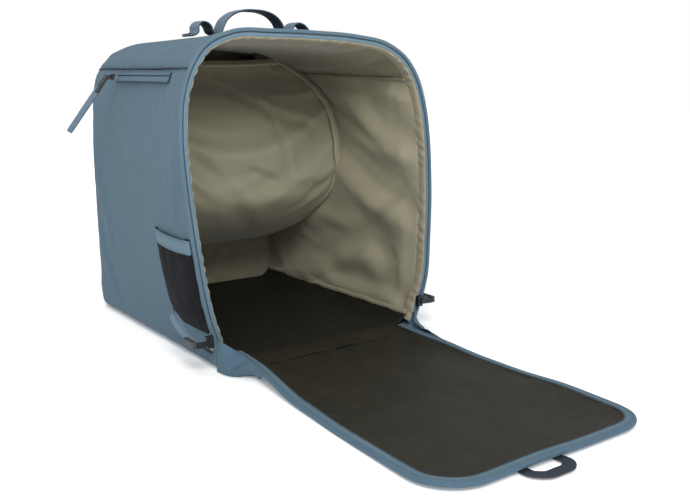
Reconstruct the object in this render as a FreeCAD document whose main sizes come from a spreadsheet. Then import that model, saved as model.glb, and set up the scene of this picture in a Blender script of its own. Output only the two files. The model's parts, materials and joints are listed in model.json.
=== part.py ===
import FreeCAD, Part
import math
import os
import Sketcher

# Ski boot bag: an upright, box-shaped soft bag whose whole front unzips and folds down as a standing mat.
# Frame: origin at the centre of the base, on its underside. +X to the right across the opening,
# +Y towards the back, +Z up. The front panel lies open on the floor, towards -Y.

doc = FreeCAD.newDocument("ski_boot_bag")
sheet = doc.addObject("Spreadsheet::Sheet", "sizes")
V = FreeCAD.Vector

# ---------------------------------------------------------------- driving dimensions (mm, degrees)
SIZES = [
    # the whole bag
    ("bag_height", 400.0, "height of the bag without its handle"),
    ("bag_depth", 390.0, "front edge to back panel"),
    ("base_width", 326.0, "width at the base"),
    ("front_top_width", 372.0, "width at the top of the opening, which flares when it is open"),
    ("rear_top_width", 336.0, "width at the top of the back panel"),
    ("top_radius", 95.0, "long upper corners"),
    ("base_radius", 28.0, "long lower corners"),
    ("rear_radius", 25.0, "edges round the back panel, along the depth"),
    ("rear_bevel", 12.0, "edges round the back panel, across them"),
    ("seam_drop", 45.0, "top of the bag down to the seam between top gusset and side panels"),
    ("base_flat_thick", 0.8, "flat face that the base stands on"),
    ("base_wrap", 27.0, "height that the base wraps up the sides"),
    ("back_wrap", 24.0, "depth that the back panel wraps round the sides"),
    # the layers of the walls, outside to inside
    ("skin_wall", 1.5, "outer woven polyester"),
    ("foam_wall", 5.0, "foam padding"),
    ("lining_wall", 1.0, "inner lining"),
    # the rim of the opening
    ("rim_depth", 12.0, "front edge back to where the padded wall starts"),
    ("piping_depth", 4.0, "piping, along the depth"),
    ("piping_wall", 3.0, "piping, across the wall"),
    ("coil_inset", 3.0, "outer surface in to the zip coil"),
    ("coil_wide", 2.0, "zip coil, across the wall"),
    ("coil_deep", 2.5, "zip coil, along the depth"),
    ("tape_wall", 1.0, "zip tape thickness"),
    # the front panel, which is also the mat
    ("flap_width", 300.0, "front panel, edge to edge"),
    ("flap_length", 396.0, "front panel, hinge to free edge"),
    ("flap_radius", 75.0, "free corners of the front panel"),
    ("flap_skin", 1.5, "front panel outer fabric"),
    ("flap_core", 3.0, "front panel foam"),
    ("flap_liner", 1.0, "front panel tarpaulin face"),
    ("flap_gap", 1.0, "front panel to bag, when it is open"),
    ("flap_tape", 8.0, "zip tape showing at the front panel's edge"),
    ("binding_wide", 5.0, "edge binding of the front panel"),
    ("binding_tall", 8.0, "edge binding thickness"),
    # the divider that parts off the back compartment
    ("divider_wall", 2.0, "padded divider thickness"),
    ("divider_top_y", 95.0, "divider's upper edge, behind the bag's centre"),
    ("divider_belly_y", -18.0, "foremost part of the divider, in front of the bag's centre"),
    ("divider_foot_y", 180.0, "divider's lower edge, against the back"),
    ("divider_foot_z", 76.0, "divider's lower edge above the floor"),
    ("divider_headroom", 26.0, "gap between the divider's hem and the ceiling"),
    ("divider_hem_tall", 12.0, "binding along the divider's upper edge"),
    ("mesh_width", 34.0, "mesh corner of the divider"),
    ("cloth_gap", 0.4, "soft parts that lie next to each other"),
    # the bound seams between the side linings and the floor
    ("seam_run", 285.0, "bound floor seam, along the depth"),
    ("seam_tall", 14.0, "bound floor seam height"),
    ("seam_wall", 1.6, "bound floor seam thickness"),
    # the stash pocket low on the left side
    ("stash_width", 112.0, "stash pocket, along the depth"),
    ("stash_height", 110.0, "stash pocket height"),
    ("stash_low", 50.0, "floor to the stash pocket"),
    ("stash_setback", 12.0, "front edge back to the stash pocket"),
    ("stash_swell", 10.0, "how far the stash pocket stands off the side"),
    ("stash_wall", 1.2, "stash pocket fabric"),
    ("stash_hem_tall", 18.0, "hem band of the stash pocket"),
    # the zipped pocket high on the left side
    ("zip_length", 206.0, "side zip window, end to end"),
    ("zip_front_y", -136.0, "front end of the side zip"),
    ("zip_drop", 56.0, "top of the bag down to the side zip"),
    ("zip_tape_tall", 13.0, "side zip tape, both halves"),
    ("coil_margin", 4.0, "side zip coil, in from each end of its tape"),
    ("zip_stand", 0.4, "side zip tape off the side panel"),
    ("pouch_height", 190.0, "pocket bag behind the side zip"),
    ("pouch_wall", 0.8, "pocket bag thickness, lying flat"),
    # sliders and pullers
    ("slider_long", 14.0, "zip slider, along the zip"),
    ("slider_wide", 9.0, "zip slider, across the zip"),
    ("slider_tall", 7.0, "zip slider thickness"),
    ("slider_clearance", 0.35, "slider round its coil and tape"),
    ("slider_radius", 1.4, "corners of the slider that run along the zip"),
    ("bail_thick", 2.0, "arm of the slider that carries the pull"),
    ("plate_thick", 2.2, "side slider plate"),
    ("plate_radius", 0.9, "side slider plate edges"),
    ("bridge_tall", 3.3, "side slider bridge, out from the wall"),
    ("bridge_wide", 3.0, "side slider bridge, up and down"),
    ("main_slider_z", 40.0, "main sliders, at the open end of their travel"),
    ("pull_long", 28.0, "moulded pull"),
    ("pull_wide", 9.0, "moulded pull width"),
    ("pull_thick", 5.0, "moulded pull thickness"),
    ("loop_long", 58.0, "webbing loop on a pull"),
    ("loop_wide", 13.0, "webbing loop, across both its legs"),
    ("loop_band", 8.0, "webbing loop, width of the band"),
    ("loop_leg", 2.4, "webbing loop, thickness of a leg"),
    ("pull_lean", 35.0, "side pull away from the wall, degrees"),
    ("pull_sweep", 8.0, "side pull towards the back, degrees"),
    # the carrying handle
    ("strap_width", 26.0, "handle webbing"),
    ("strap_thick", 2.2, "handle outer webbing"),
    ("strap_lining", 1.4, "handle inner webbing"),
    ("handle_y", -25.0, "handle, in front of the bag's centre"),
    ("arch_span", 96.0, "handle arch between its two inner feet"),
    ("arch_rise", 31.0, "handle arch height"),
    ("arch_middle_x", -3.0, "middle of the handle arch"),
    ("foot_long", 11.0, "sewn foot of the handle"),
    ("side_loop_span", 25.0, "small loops each side of the arch"),
    ("side_loop_rise", 12.5, "small loop height"),
    ("tack_thick", 1.0, "bar tack on a sewn foot"),
    # the grab loop under the mat's free edge
    ("grab_long", 24.0, "grab loop beyond the mat's edge"),
    ("grab_span", 60.0, "grab loop, between its legs"),
    ("grab_band", 16.0, "grab loop webbing width"),
    ("grab_thick", 2.0, "grab loop webbing thickness"),
    ("grab_x", -28.0, "middle of the grab loop, from the middle of the mat"),
]
for row, (alias, number, note) in enumerate(SIZES, start=1):
    sheet.set("A%d" % row, note)
    sheet.set("B%d" % row, "%g" % number)
    sheet.setAlias("B%d" % row, alias)
doc.recompute()

NAMES = {alias for alias, number, note in SIZES}
NODES = []


def bind(text):
    """Turn a formula in the sheet's aliases into an expression that reads the sheet."""
    words = []
    word = ""
    for letter in str(text) + " ":
        if letter.isalnum() or letter == "_":
            word += letter
        else:
            words.append("sizes." + word if word in NAMES else word)
            words.append(letter)
            word = ""
    return "".join(words).strip()


def size(text):
    """Value of a formula in the sheet's aliases."""
    return float(sheet.evalExpression(bind(text)))


def keep(item, label):
    """Name a finished sub-part and list it for export."""
    item.Label = label
    NODES.append(item)
    return item


# ---------------------------------------------------------------- general makers
def box(name, low, extent):
    """Plain block from its lowest corner and its three lengths."""
    item = doc.addObject("Part::Box", name)
    for side, formula in zip(("Length", "Width", "Height"), extent):
        item.setExpression(side, bind(formula))
    for axis, formula in zip("xyz", low):
        item.setExpression("Placement.Base." + axis, bind(formula))
    return item


def cut(name, base, tool):
    item = doc.addObject("Part::Cut", name)
    item.Base = base
    item.Tool = tool
    return item


def common(name, first, second):
    item = doc.addObject("Part::MultiCommon", name)
    item.Shapes = [first, second]
    return item


def fuse(name, pieces):
    item = doc.addObject("Part::MultiFuse", name)
    item.Shapes = pieces
    return item


def plane_sketch(body, role, name, offset):
    """Sketch on one of the body's origin planes, moved along that plane's normal."""
    sketch = body.newObject("Sketcher::SketchObject", name)
    plane = [item for item in body.Origin.OriginFeatures if item.Role == role][0]
    sketch.AttachmentSupport = [(plane, "")]
    sketch.MapMode = "FlatFace"
    sketch.setExpression("AttachmentOffset.Base.z", bind(offset))
    return sketch


def outline(sketch, corners, arcs=None):
    """Closed outline, anticlockwise, whose corners follow the sheet.

    arcs gives the radius of each stretch, counted from its first corner, that is round and not straight.
    """
    arcs = arcs or {}
    spots = [V(size(across), size(up), 0) for across, up in corners]
    last = len(spots)
    for index in range(last):
        start = spots[index]
        end = spots[(index + 1) % last]
        if index not in arcs:
            sketch.addGeometry(Part.LineSegment(start, end), False)
            continue
        radius = size(arcs[index])
        chord = end - start
        inward = V(-chord.y, chord.x, 0).normalize()
        depth = math.sqrt(max(radius ** 2 - chord.Length ** 2 / 4, 0))
        centre = (start + end) * 0.5 + inward * depth
        turns = [math.atan2(spot.y - centre.y, spot.x - centre.x) for spot in (start, end)]
        circle = Part.Circle(centre, V(0, 0, 1), radius)
        sketch.addGeometry(Part.ArcOfCircle(circle, turns[0], turns[1]), False)
    for index in range(last):
        sketch.addConstraint(Sketcher.Constraint("Coincident", index, 2, (index + 1) % last, 1))
    for index, formula in arcs.items():
        number = sketch.addConstraint(Sketcher.Constraint("Radius", index, size(formula)))
        sketch.setExpression("Constraints[%d]" % number, bind(formula))
    for index, (across, up) in enumerate(corners):
        for kind, formula, axis in (("DistanceX", across, -2), ("DistanceY", up, -1)):
            here = size(formula)
            if abs(here) < 1e-9:
                sketch.addConstraint(Sketcher.Constraint("PointOnObject", index, 1, axis))
                continue
            if here > 0:
                ends = (-1, 1, index, 1)
                formula_text = "(%s)" % formula
            else:
                ends = (index, 1, -1, 1)
                formula_text = "-1 * (%s)" % formula
            number = sketch.addConstraint(Sketcher.Constraint(kind, *ends, abs(here)))
            sketch.setExpression("Constraints[%d]" % number, bind(formula_text))


def edges_where(shape, test):
    """Names of the edges whose middle and direction pass the test."""
    names = []
    for number, edge in enumerate(shape.Edges, start=1):
        middle = edge.valueAt((edge.FirstParameter + edge.LastParameter) / 2.0)
        reach = edge.valueAt(edge.LastParameter) - edge.valueAt(edge.FirstParameter)
        if test(middle, reach):
            names.append("Edge%d" % number)
    return names


def round_edges(body, base, name, radius, test):
    """Fillet the chosen edges of a feature."""
    doc.recompute()
    item = body.newObject("PartDesign::Fillet", name)
    item.Base = (base, edges_where(base.Shape, test))
    item.setExpression("Radius", bind(radius))
    body.Tip = item
    return item


def prism(name, role, corners, offset, depth, rounds=()):
    """Outline padded both ways alike about its plane, with some of its edges rounded."""
    body = doc.addObject("PartDesign::Body", name)
    sketch = plane_sketch(body, role, name + "_outline", offset)
    outline(sketch, corners)
    pad = body.newObject("PartDesign::Pad", name + "_pad")
    pad.Profile = sketch
    pad.SideType = "Symmetric"
    pad.setExpression("Length", bind(depth))
    tip = pad
    for number, (radius, test) in enumerate(rounds):
        tip = round_edges(body, tip, "%s_round_%d" % (name, number), radius, test)
    body.Tip = tip
    return body


def along_z(middle, reach):
    return abs(reach.x) < 1e-6 and abs(reach.y) < 1e-6


def along_y(middle, reach):
    return abs(reach.x) < 1e-6 and abs(reach.z) < 1e-6


def along_x(middle, reach):
    return abs(reach.y) < 1e-6 and abs(reach.z) < 1e-6


# ---------------------------------------------------------------- the bag's nested shells
SHELLS = {}


def draw_section(sketch, inset, top_width):
    """Round-cornered section of the bag, moved inwards square to its sides, which lean outwards."""
    flare = "((%s - base_width) / 2 / bag_height)" % top_width
    slant = "sqrt(1 + %s * %s)" % (flare, flare)
    low = "(base_width / 2 + (%s) * (%s - %s))" % (inset, flare, slant)
    high = "((%s) / 2 - (%s) * (%s + %s))" % (top_width, inset, flare, slant)
    floor = "(%s)" % inset
    ceiling = "(bag_height - (%s))" % inset
    low_radius = "(base_radius - (%s))" % inset
    high_radius = "(top_radius - (%s))" % inset
    low_run = "(%s * (%s - %s))" % (low_radius, slant, flare)
    high_run = "(%s * (%s + %s))" % (high_radius, slant, flare)
    right = [
        ("%s - %s" % (low, low_run), floor),
        ("%s + %s * %s / %s" % (low, low_run, flare, slant), "%s + %s / %s" % (floor, low_run, slant)),
        ("%s - %s * %s / %s" % (high, high_run, flare, slant), "%s - %s / %s" % (ceiling, high_run, slant)),
        ("%s - %s" % (high, high_run), ceiling),
    ]
    left = [("-1 * (%s)" % across, up) for across, up in reversed(right)]
    outline(sketch, right + left, {0: low_radius, 2: high_radius, 4: high_radius, 6: low_radius})


def shell(inset):
    """Solid bounded by the surface that lies this far inside the bag's outer surface."""
    if inset in SHELLS:
        return SHELLS[inset]
    name = "shell_%d" % len(SHELLS)
    body = doc.addObject("PartDesign::Body", name)
    stations = [
        ("front", "bag_depth / 2", inset, "front_top_width"),
        ("shoulder", "-1 * (bag_depth / 2 - rear_radius)", inset, "rear_top_width"),
        ("rear", "-1 * (bag_depth / 2 - (%s))" % inset, inset + " + rear_bevel", "rear_top_width"),
    ]
    sketches = []
    for title, station, edge, top_width in stations:
        sketch = plane_sketch(body, "XZ_Plane", "%s_%s" % (name, title), station)
        draw_section(sketch, edge, top_width)
        sketches.append(sketch)
    loft = body.newObject("PartDesign::AdditiveLoft", name + "_loft")
    loft.Profile = sketches[0]
    loft.Sections = sketches[1:]
    loft.Ruled = True
    body.Tip = loft
    SHELLS[inset] = body
    return body


def layer(name, outer, inner):
    """Wall between two nested shells."""
    return cut(name, shell(outer), shell(inner))


FAR = "(2 * bag_height)"
FRONT = "-1 * bag_depth / 2"
SEAM = "(bag_height - seam_drop)"
INNER = "(skin_wall + foam_wall + lining_wall)"


def wall_zone(name, place, start):
    """Block that picks one panel out of a wall; start is how far behind the front edge it begins."""
    front = "%s + %s" % (FRONT, start)
    run = "bag_depth - back_wrap - (%s)" % start
    side_height = "%s - base_wrap" % SEAM
    if place == "left":
        return box(name, ("-1 * %s" % FAR, front, "base_wrap"), (FAR, run, side_height))
    if place == "right":
        return box(name, ("0", front, "base_wrap"), (FAR, run, side_height))
    if place == "top":
        return box(name, ("-1 * %s" % FAR, front, SEAM), ("2 * %s" % FAR, run, "2 * seam_drop"))
    if place == "back":
        return box(name, ("-1 * %s" % FAR, "bag_depth / 2 - back_wrap", "base_wrap"),
                   ("2 * %s" % FAR, "2 * back_wrap", FAR))
    return box(name, ("-1 * %s" % FAR, front, "-1 * base_wrap"), ("2 * %s" % FAR, FAR, "2 * base_wrap"))


ZIP_Z = "(bag_height - zip_drop)"
ZIP_END = "(zip_front_y + zip_length)"


def pocket_bag():
    """Flat pocket bag behind the side zip, between the outer fabric and the foam."""
    zone = box("pocket_bag_zone", ("-1 * %s" % FAR, "zip_front_y", "%s + zip_tape_tall / 2 - pouch_height" % ZIP_Z),
               (FAR, "zip_length", "pouch_height"))
    skin = layer("pocket_bag_wall", "skin_wall", "skin_wall + pouch_wall")
    return keep(common("side_pocket_bag", skin, zone), "side_pocket_bag")


LAYERS = [
    ("outer", "0", "skin_wall", "piping_depth + piping_depth",
     ("side_panel_left", "side_panel_right", "top_gusset", "back_panel", "base_panel")),
    ("padding", "skin_wall", "skin_wall + foam_wall", "rim_depth",
     ("side_foam_left", "side_foam_right", "top_foam", "back_foam", "base_board")),
    ("lining", "skin_wall + foam_wall", INNER, "rim_depth",
     ("side_lining_left", "side_lining_right", "ceiling_lining", "back_lining", "floor_tarpaulin")),
]
PLACES = ("left", "right", "top", "back", "base")


def base_flat(name, bottom, tall):
    """Block over the flat middle of the base, between the rounded lower edges."""
    half = "(base_width / 2 - base_radius)"
    return box(name, ("-1 * %s" % half, "%s + base_wrap" % FRONT, bottom),
               ("2 * %s" % half, "bag_depth - base_wrap - back_wrap - rear_radius", tall))


for title, outer, inner, start, labels in LAYERS:
    wall = layer(title + "_wall", outer, inner)
    for place, label in zip(PLACES, labels):
        begin = start if place != "base" else "0"
        zone = wall_zone("%s_%s_zone" % (title, place), place, begin)
        if label == "side_foam_left":
            keep(cut(label, common(label + "_blank", wall, zone), pocket_bag()), label)
        elif label == "base_panel":
            flat = base_flat("base_flat", "0", "base_flat_thick")
            rest = cut("base_rest", common(label + "_blank", wall, zone),
                       base_flat("base_recess", "-1 * base_wrap", "base_wrap + base_flat_thick"))
            keep(fuse(label, [rest, flat]), label)
        else:
            keep(common(label, wall, zone), label)


# ---------------------------------------------------------------- the rim of the opening
def rim_ring(label, outer, inner, start, deep):
    """Part of the wall that follows the rim, from the base up one side, over and down the other."""
    zone = box(label + "_zone", ("-1 * %s" % FAR, "%s + %s" % (FRONT, start), "base_wrap"),
               ("2 * %s" % FAR, deep, FAR))
    keep(common(label, layer(label + "_wall", outer, inner), zone), label)


rim_ring("rim_piping", "0", "piping_wall", "piping_depth", "piping_depth")
rim_ring("body_zip_coil", "coil_inset", "coil_inset + coil_wide", "0", "coil_deep")
rim_ring("body_zip_tape", "coil_inset + (coil_wide - tape_wall) / 2",
         "coil_inset + (coil_wide + tape_wall) / 2", "coil_deep", "rim_depth - coil_deep")
rim_ring("rim_facing", "coil_inset + (coil_wide + tape_wall) / 2", INNER, "piping_depth",
         "rim_depth - piping_depth")


# ---------------------------------------------------------------- the divider and the back compartment
def divider_line(shift):
    """Side view of the divider, from its foot to its upper edge, moved along the depth."""
    top_z = size("bag_height - %s - divider_headroom" % INNER)
    foot_z = size("divider_foot_z")
    rise = top_z - foot_z
    belly = size("divider_belly_y")
    top_y = size("divider_top_y")
    spots = [
        V(0, size("divider_foot_y"), foot_z),
        V(0, belly + 0.38 * (size("divider_foot_y") - belly), foot_z + 0.20 * rise),
        V(0, belly, foot_z + 0.48 * rise),
        V(0, belly + 0.22 * (top_y - belly), foot_z + 0.78 * rise),
        V(0, top_y, top_z),
    ]
    curve = Part.BSplineCurve()
    curve.interpolate([spot + V(0, shift, 0) for spot in spots])
    return curve.toShape()


def divider_slab(wide):
    """Curved slab of the divider's thickness, centred across the bag."""
    front = divider_line(0)
    back = divider_line(size("divider_wall"))
    ends = [(front.Vertexes[side].Point, back.Vertexes[side].Point) for side in (0, 1)]
    rim = [front, Part.makeLine(*ends[1]), back, Part.makeLine(*ends[0])]
    face = Part.Face(Part.Wire(Part.__sortEdges__(rim)))
    face.translate(V(-wide / 2, 0, 0))
    return face.extrude(V(wide, 0, 0))


def divider_parts():
    """Divider panel, its bound upper hem and its mesh corner, all of one curved slab."""
    blank = doc.addObject("Part::Feature", "divider_blank")
    blank.Shape = divider_slab(size("2 * front_top_width"))
    blank.Placement = FreeCAD.Placement()
    curved = common("divider_curved", blank, shell(INNER + " + cloth_gap"))
    hem_low = "bag_height - (%s) - divider_headroom - divider_hem_tall" % INNER
    hem_zone = box("divider_hem_zone", ("-1 * %s" % FAR, FRONT, hem_low), ("2 * %s" % FAR, FAR, FAR))
    mesh_left = "rear_top_width / 2 - (%s) - mesh_width - top_radius / 3" % INNER
    mesh_zone = box("divider_mesh_zone", (mesh_left, FRONT, hem_low + " - mesh_width"),
                    (FAR, FAR, "mesh_width"))
    keep(common("divider_hem", curved, hem_zone), "divider_hem")
    keep(common("divider_mesh", curved, mesh_zone), "divider_mesh")
    lower = cut("divider_lower", curved, hem_zone)
    keep(cut("divider_panel", lower, mesh_zone), "divider_panel")


divider_parts()


def floor_seam(label, start_x):
    """Bound seam allowance that stands against the foot of a side lining."""
    zone = box(label + "_zone", (start_x, "%s + rim_depth" % FRONT, "base_wrap"), (FAR, "seam_run", "seam_tall"))
    skin = layer(label + "_wall", INNER + " + cloth_gap", INNER + " + cloth_gap + seam_wall")
    keep(common(label, skin, zone), label)


floor_seam("floor_seam_left", "-1 * %s" % FAR)
floor_seam("floor_seam_right", "0")


# ---------------------------------------------------------------- the stash pocket on the left side
def side_line(height, inset):
    """Formula for how far left the outer surface is at the front edge, at this height."""
    flare = "((front_top_width - base_width) / 2 / bag_height)"
    return "-1 * (base_width / 2 + %s * (%s) - (%s) * sqrt(1 + %s * %s))" % (
        flare, height, inset, flare, flare)


def stash_parts():
    """Patch pocket that stands a little off the side, with a hem band round its mouth."""
    swell = "-1 * stash_swell"
    start = "%s + stash_setback" % FRONT
    outer = cut("stash_swollen", shell(swell), shell("-1 * cloth_gap"))
    hollow = cut("stash_hollow", shell(swell + " + stash_wall"), shell("-1 * cloth_gap"))
    patch = box("stash_patch", ("-1 * %s" % FAR, start, "stash_low"), (FAR, "stash_width", "stash_height"))
    inside = box("stash_inside", ("-1 * %s" % FAR, start + " + stash_wall", "stash_low + stash_wall"),
                 (FAR, "stash_width - 2 * stash_wall", "stash_height"))
    pouch = cut("stash_pouch", common("stash_block", outer, patch),
                common("stash_void", hollow, inside))
    hem_zone = box("stash_hem_zone", ("-1 * %s" % FAR, start, "stash_low + stash_height - stash_hem_tall"),
                   (FAR, "stash_width", "stash_height"))
    keep(common("stash_hem", pouch, hem_zone), "stash_hem")
    keep(cut("stash_pocket", pouch, hem_zone), "stash_pocket")


stash_parts()


# ---------------------------------------------------------------- the zipped pocket on the left side
def side_zip_parts():
    """Tape and coil that lie on the side panel."""
    stand = "-1 * zip_stand"
    tape_skin = cut("side_tape_skin", shell(stand + " - tape_wall"), shell(stand))
    tape_zone = box("side_tape_zone", ("-1 * %s" % FAR, "zip_front_y", "%s - zip_tape_tall / 2" % ZIP_Z),
                    (FAR, "zip_length", "zip_tape_tall"))
    keep(common("side_zip_tape", tape_skin, tape_zone), "side_zip_tape")
    coil_skin = cut("side_coil_skin", shell(stand + " - tape_wall - coil_wide"), shell(stand + " - tape_wall"))
    coil_zone = box("side_coil_zone", ("-1 * %s" % FAR, "zip_front_y + coil_margin", "%s - coil_deep / 2" % ZIP_Z),
                    (FAR, "zip_length - 2 * coil_margin", "coil_deep"))
    keep(common("side_zip_coil", coil_skin, coil_zone), "side_zip_coil")


side_zip_parts()


# ---------------------------------------------------------------- sliders, moulded pulls and webbing loops
PULL_REACH = "coil_inset + coil_wide / 2 + stash_swell + loop_wide / 2 + 2 * cloth_gap"


def slider_shape():
    """Slider with its channel, made about the coil: coil along Z, tape towards +Y, bridge towards -Y."""
    long = size("slider_long")
    wide = size("slider_wide")
    tall = size("slider_tall")
    gap = size("slider_clearance")
    coil_wide = size("coil_wide") + 2 * gap
    coil_deep = size("coil_deep") + 2 * gap
    tape = size("tape_wall") + 2 * gap
    block = Part.makeBox(wide, tall, long, V(-wide / 2, -tall + coil_deep, -long / 2))
    block = block.makeFillet(size("slider_radius"), [edge for edge in block.Edges if edge.BoundBox.ZLength > long / 2])
    channel = Part.makeBox(coil_wide, coil_deep, 2 * long, V(-coil_wide / 2, -gap, -long))
    slot = Part.makeBox(tape, 2 * tall, 2 * long, V(-tape / 2, 0, -long))
    bail = Part.makeBox(size(PULL_REACH) - size("pull_thick / 2 + cloth_gap"), size("bail_thick"), long / 2,
                        V(0, -tall + coil_deep - size("bail_thick"), -long / 4))
    return block.fuse(bail).cut(channel.fuse(slot)).removeSplitter()


def pull_shape():
    """Moulded pull: from its pivot at the origin along -Z, flat across Y."""
    long = size("pull_long")
    wide = size("pull_wide")
    thick = size("pull_thick")
    bar = Part.makeBox(wide, thick, long, V(-wide / 2, -thick / 2, -long))
    bar = bar.makeFillet(thick / 3, bar.Edges)
    return bar


def loop_shape():
    """Webbing loop sewn into the end of the pull: a long ring that goes on along -Z."""
    start = size("pull_long + cloth_gap")
    long = size("loop_long")
    wide = size("loop_wide")
    band = size("loop_band")
    leg = size("loop_leg")
    ring = Part.makeBox(band, wide, long, V(-band / 2, -wide / 2, -start - long))
    ring = ring.makeFillet(wide / 2.1, [edge for edge in ring.Edges if abs(edge.BoundBox.XLength - band) < 1e-6])
    hole = Part.makeBox(2 * band, wide - 2 * leg, long - 2 * leg, V(-band, -wide / 2 + leg, -start - long + leg))
    hole = hole.makeFillet((wide - 2 * leg) / 2.1,
                           [edge for edge in hole.Edges if abs(edge.BoundBox.XLength - 2 * band) < 1e-6])
    return ring.cut(hole)


def feature(label, shape, place):
    item = doc.addObject("Part::Feature", label)
    item.Shape = shape
    item.Placement = place
    return keep(item, label)


def main_slider(side, name):
    """Slider on the upright leg of the main zip, with its pull and loop laid back along the side."""
    flare = math.atan(size("(front_top_width - base_width) / 2 / bag_height"))
    coil_x = -size(side_line("main_slider_z", "coil_inset + coil_wide / 2"))
    spot = V(side * coil_x, size(FRONT), size("main_slider_z"))
    upright = FreeCAD.Rotation(V(0, 1, 0), side * math.degrees(flare))
    shape = slider_shape()
    if side < 0:
        shape = shape.mirror(V(0, 0, 0), V(1, 0, 0))
    feature("main_slider_" + name, shape, FreeCAD.Placement(spot, upright))
    pivot = V(side * (coil_x + size(PULL_REACH)), size(FRONT) - size("slider_tall - coil_deep") - size("bail_thick"),
              size("main_slider_z"))
    laid = FreeCAD.Rotation(V(1, 0, 0), 90).multiply(FreeCAD.Rotation(V(0, 0, 1), 90))
    feature("main_pull_" + name, pull_shape(), FreeCAD.Placement(pivot, laid))
    feature("main_loop_" + name, loop_shape(), FreeCAD.Placement(pivot, laid))


main_slider(-1, "left")
main_slider(1, "right")


def side_slider():
    """Slider at the back end of the side zip; its pull hangs away from the wall and backwards."""
    along = "%s - slider_long" % ZIP_END
    doc.recompute()
    sight = Part.makeLine(V(-size(FAR), size(along), size(ZIP_Z)), V(0, size(along), size(ZIP_Z)))
    coil = doc.getObject("side_zip_coil").Shape
    surface_x = coil.common(sight).BoundBox.XMin
    spot = V(surface_x - size("slider_clearance + cloth_gap"), size(along), size(ZIP_Z))
    long = size("slider_long")
    wide = size("slider_wide")
    thick = size("plate_thick")
    plate = Part.makeBox(thick, long, wide, V(-thick, -long / 2, -wide / 2))
    plate = plate.makeFillet(size("plate_radius"), plate.Edges)
    tall = size("bridge_tall")
    high = size("bridge_wide")
    bridge = Part.makeBox(tall, long / 2, high, V(-thick - tall + size("plate_radius"), -long / 4, -high / 2))
    rear_flare = "((rear_top_width - base_width) / 2 / bag_height)"
    front_flare = "((front_top_width - base_width) / 2 / bag_height)"
    taper = size("(%s - %s) * %s / (bag_depth - rear_radius)" % (front_flare, rear_flare, ZIP_Z))
    turn = FreeCAD.Rotation(V(0, 0, 1), math.degrees(math.atan(taper)))
    roll = FreeCAD.Rotation(V(0, 1, 0), size("asin((top_radius - zip_drop) / top_radius)"))
    feature("side_slider", plate.fuse(bridge).removeSplitter(), FreeCAD.Placement(spot, turn.multiply(roll)))
    out = V(-thick - tall + size("plate_radius - pull_thick / 2 - cloth_gap"), 0, 0)
    pivot = spot + roll.multVec(out)
    lean = FreeCAD.Rotation(V(0, 1, 0), size("pull_lean"))
    sweep = FreeCAD.Rotation(V(1, 0, 0), size("pull_sweep"))
    facing = FreeCAD.Rotation(V(0, 0, 1), 90)
    hang = lean.multiply(sweep).multiply(facing)
    feature("side_pull", pull_shape(), FreeCAD.Placement(pivot, hang))
    feature("side_loop", loop_shape(), FreeCAD.Placement(pivot, hang))


side_slider()


# ---------------------------------------------------------------- the carrying handle
def arch(start_x, span, rise, base_z):
    """Arc that springs from base_z, spans this far along X and rises this high."""
    return Part.Arc(V(start_x, 0, base_z), V(start_x + span / 2, 0, base_z + rise),
                    V(start_x + span, 0, base_z)).toShape()


def handle_parts():
    """One strap sewn down at four feet: a small loop, the arch to carry by, and a small loop."""
    thick = size("strap_thick")
    lining = size("strap_lining")
    foot = size("foot_long")
    span = size("arch_span")
    loop = size("side_loop_span")
    inner_x = size("arch_middle_x") - span / 2
    starts = [inner_x - foot - loop - foot, inner_x - foot, inner_x + span, inner_x + span + foot + loop]
    roof = size("bag_height + cloth_gap")
    wide = size("strap_width")
    back = size("handle_y") - wide / 2

    def band(height, low_spread, high_spread):
        """Webbing between two concentric arcs over each gap."""
        pieces = []
        gaps = [(starts[0] + foot, loop, size("side_loop_rise")),
                (starts[1] + foot, span, size("arch_rise")),
                (starts[2] + foot, loop, size("side_loop_rise"))]
        for begin, reach, rise in gaps:
            outer = arch(begin - high_spread, reach + 2 * high_spread, rise + high_spread, roof)
            inner = arch(begin - low_spread, reach + 2 * low_spread, rise + low_spread, roof)
            rim = [outer, inner]
            for end in (0, 1):
                rim.append(Part.makeLine(outer.Vertexes[end].Point, inner.Vertexes[end].Point))
            face = Part.Face(Part.Wire(Part.__sortEdges__(rim)))
            face.translate(V(0, back, 0))
            pieces.append(face.extrude(V(0, wide, 0)))
        return pieces

    outer_band = band(roof, lining, lining + thick)
    feet = [Part.makeBox(foot - 2 * lining, wide, thick, V(x + lining, back, roof)) for x in starts]
    outer = outer_band[0].multiFuse(outer_band[1:] + feet).removeSplitter()
    feature("handle_strap", outer, FreeCAD.Placement())
    inner_band = band(roof, 0.0, lining)
    feature("handle_lining", Part.Compound(inner_band), FreeCAD.Placement())
    margin = lining + thick + size("cloth_gap")
    tacks = [Part.makeBox(foot - 2 * margin, wide - 4, size("tack_thick"),
                          V(x + margin, back + 2, roof + thick)) for x in starts]
    feature("handle_tacks", Part.Compound(tacks), FreeCAD.Placement())


handle_parts()


# ---------------------------------------------------------------- the front panel, open as a mat
HINGE_Y = "(%s - flap_gap)" % FRONT


def flap_plate(name, inset, low, thick):
    """Panel outline, rounded at its two free corners, this far inside the panel's edge."""
    half = "flap_width / 2 - (%s)" % inset
    free = "%s - flap_length + (%s)" % (HINGE_Y, inset)
    corners = [("-1 * (%s)" % half, free), (half, free), (half, HINGE_Y), ("-1 * (%s)" % half, HINGE_Y)]
    edge_y = size(free)
    return prism(name, "XY_Plane", corners, "(%s) + (%s) / 2" % (low, thick), thick,
                 [("flap_radius - (%s)" % inset,
                   lambda middle, reach: along_z(middle, reach) and abs(middle.y - edge_y) < 1e-3)])


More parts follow.
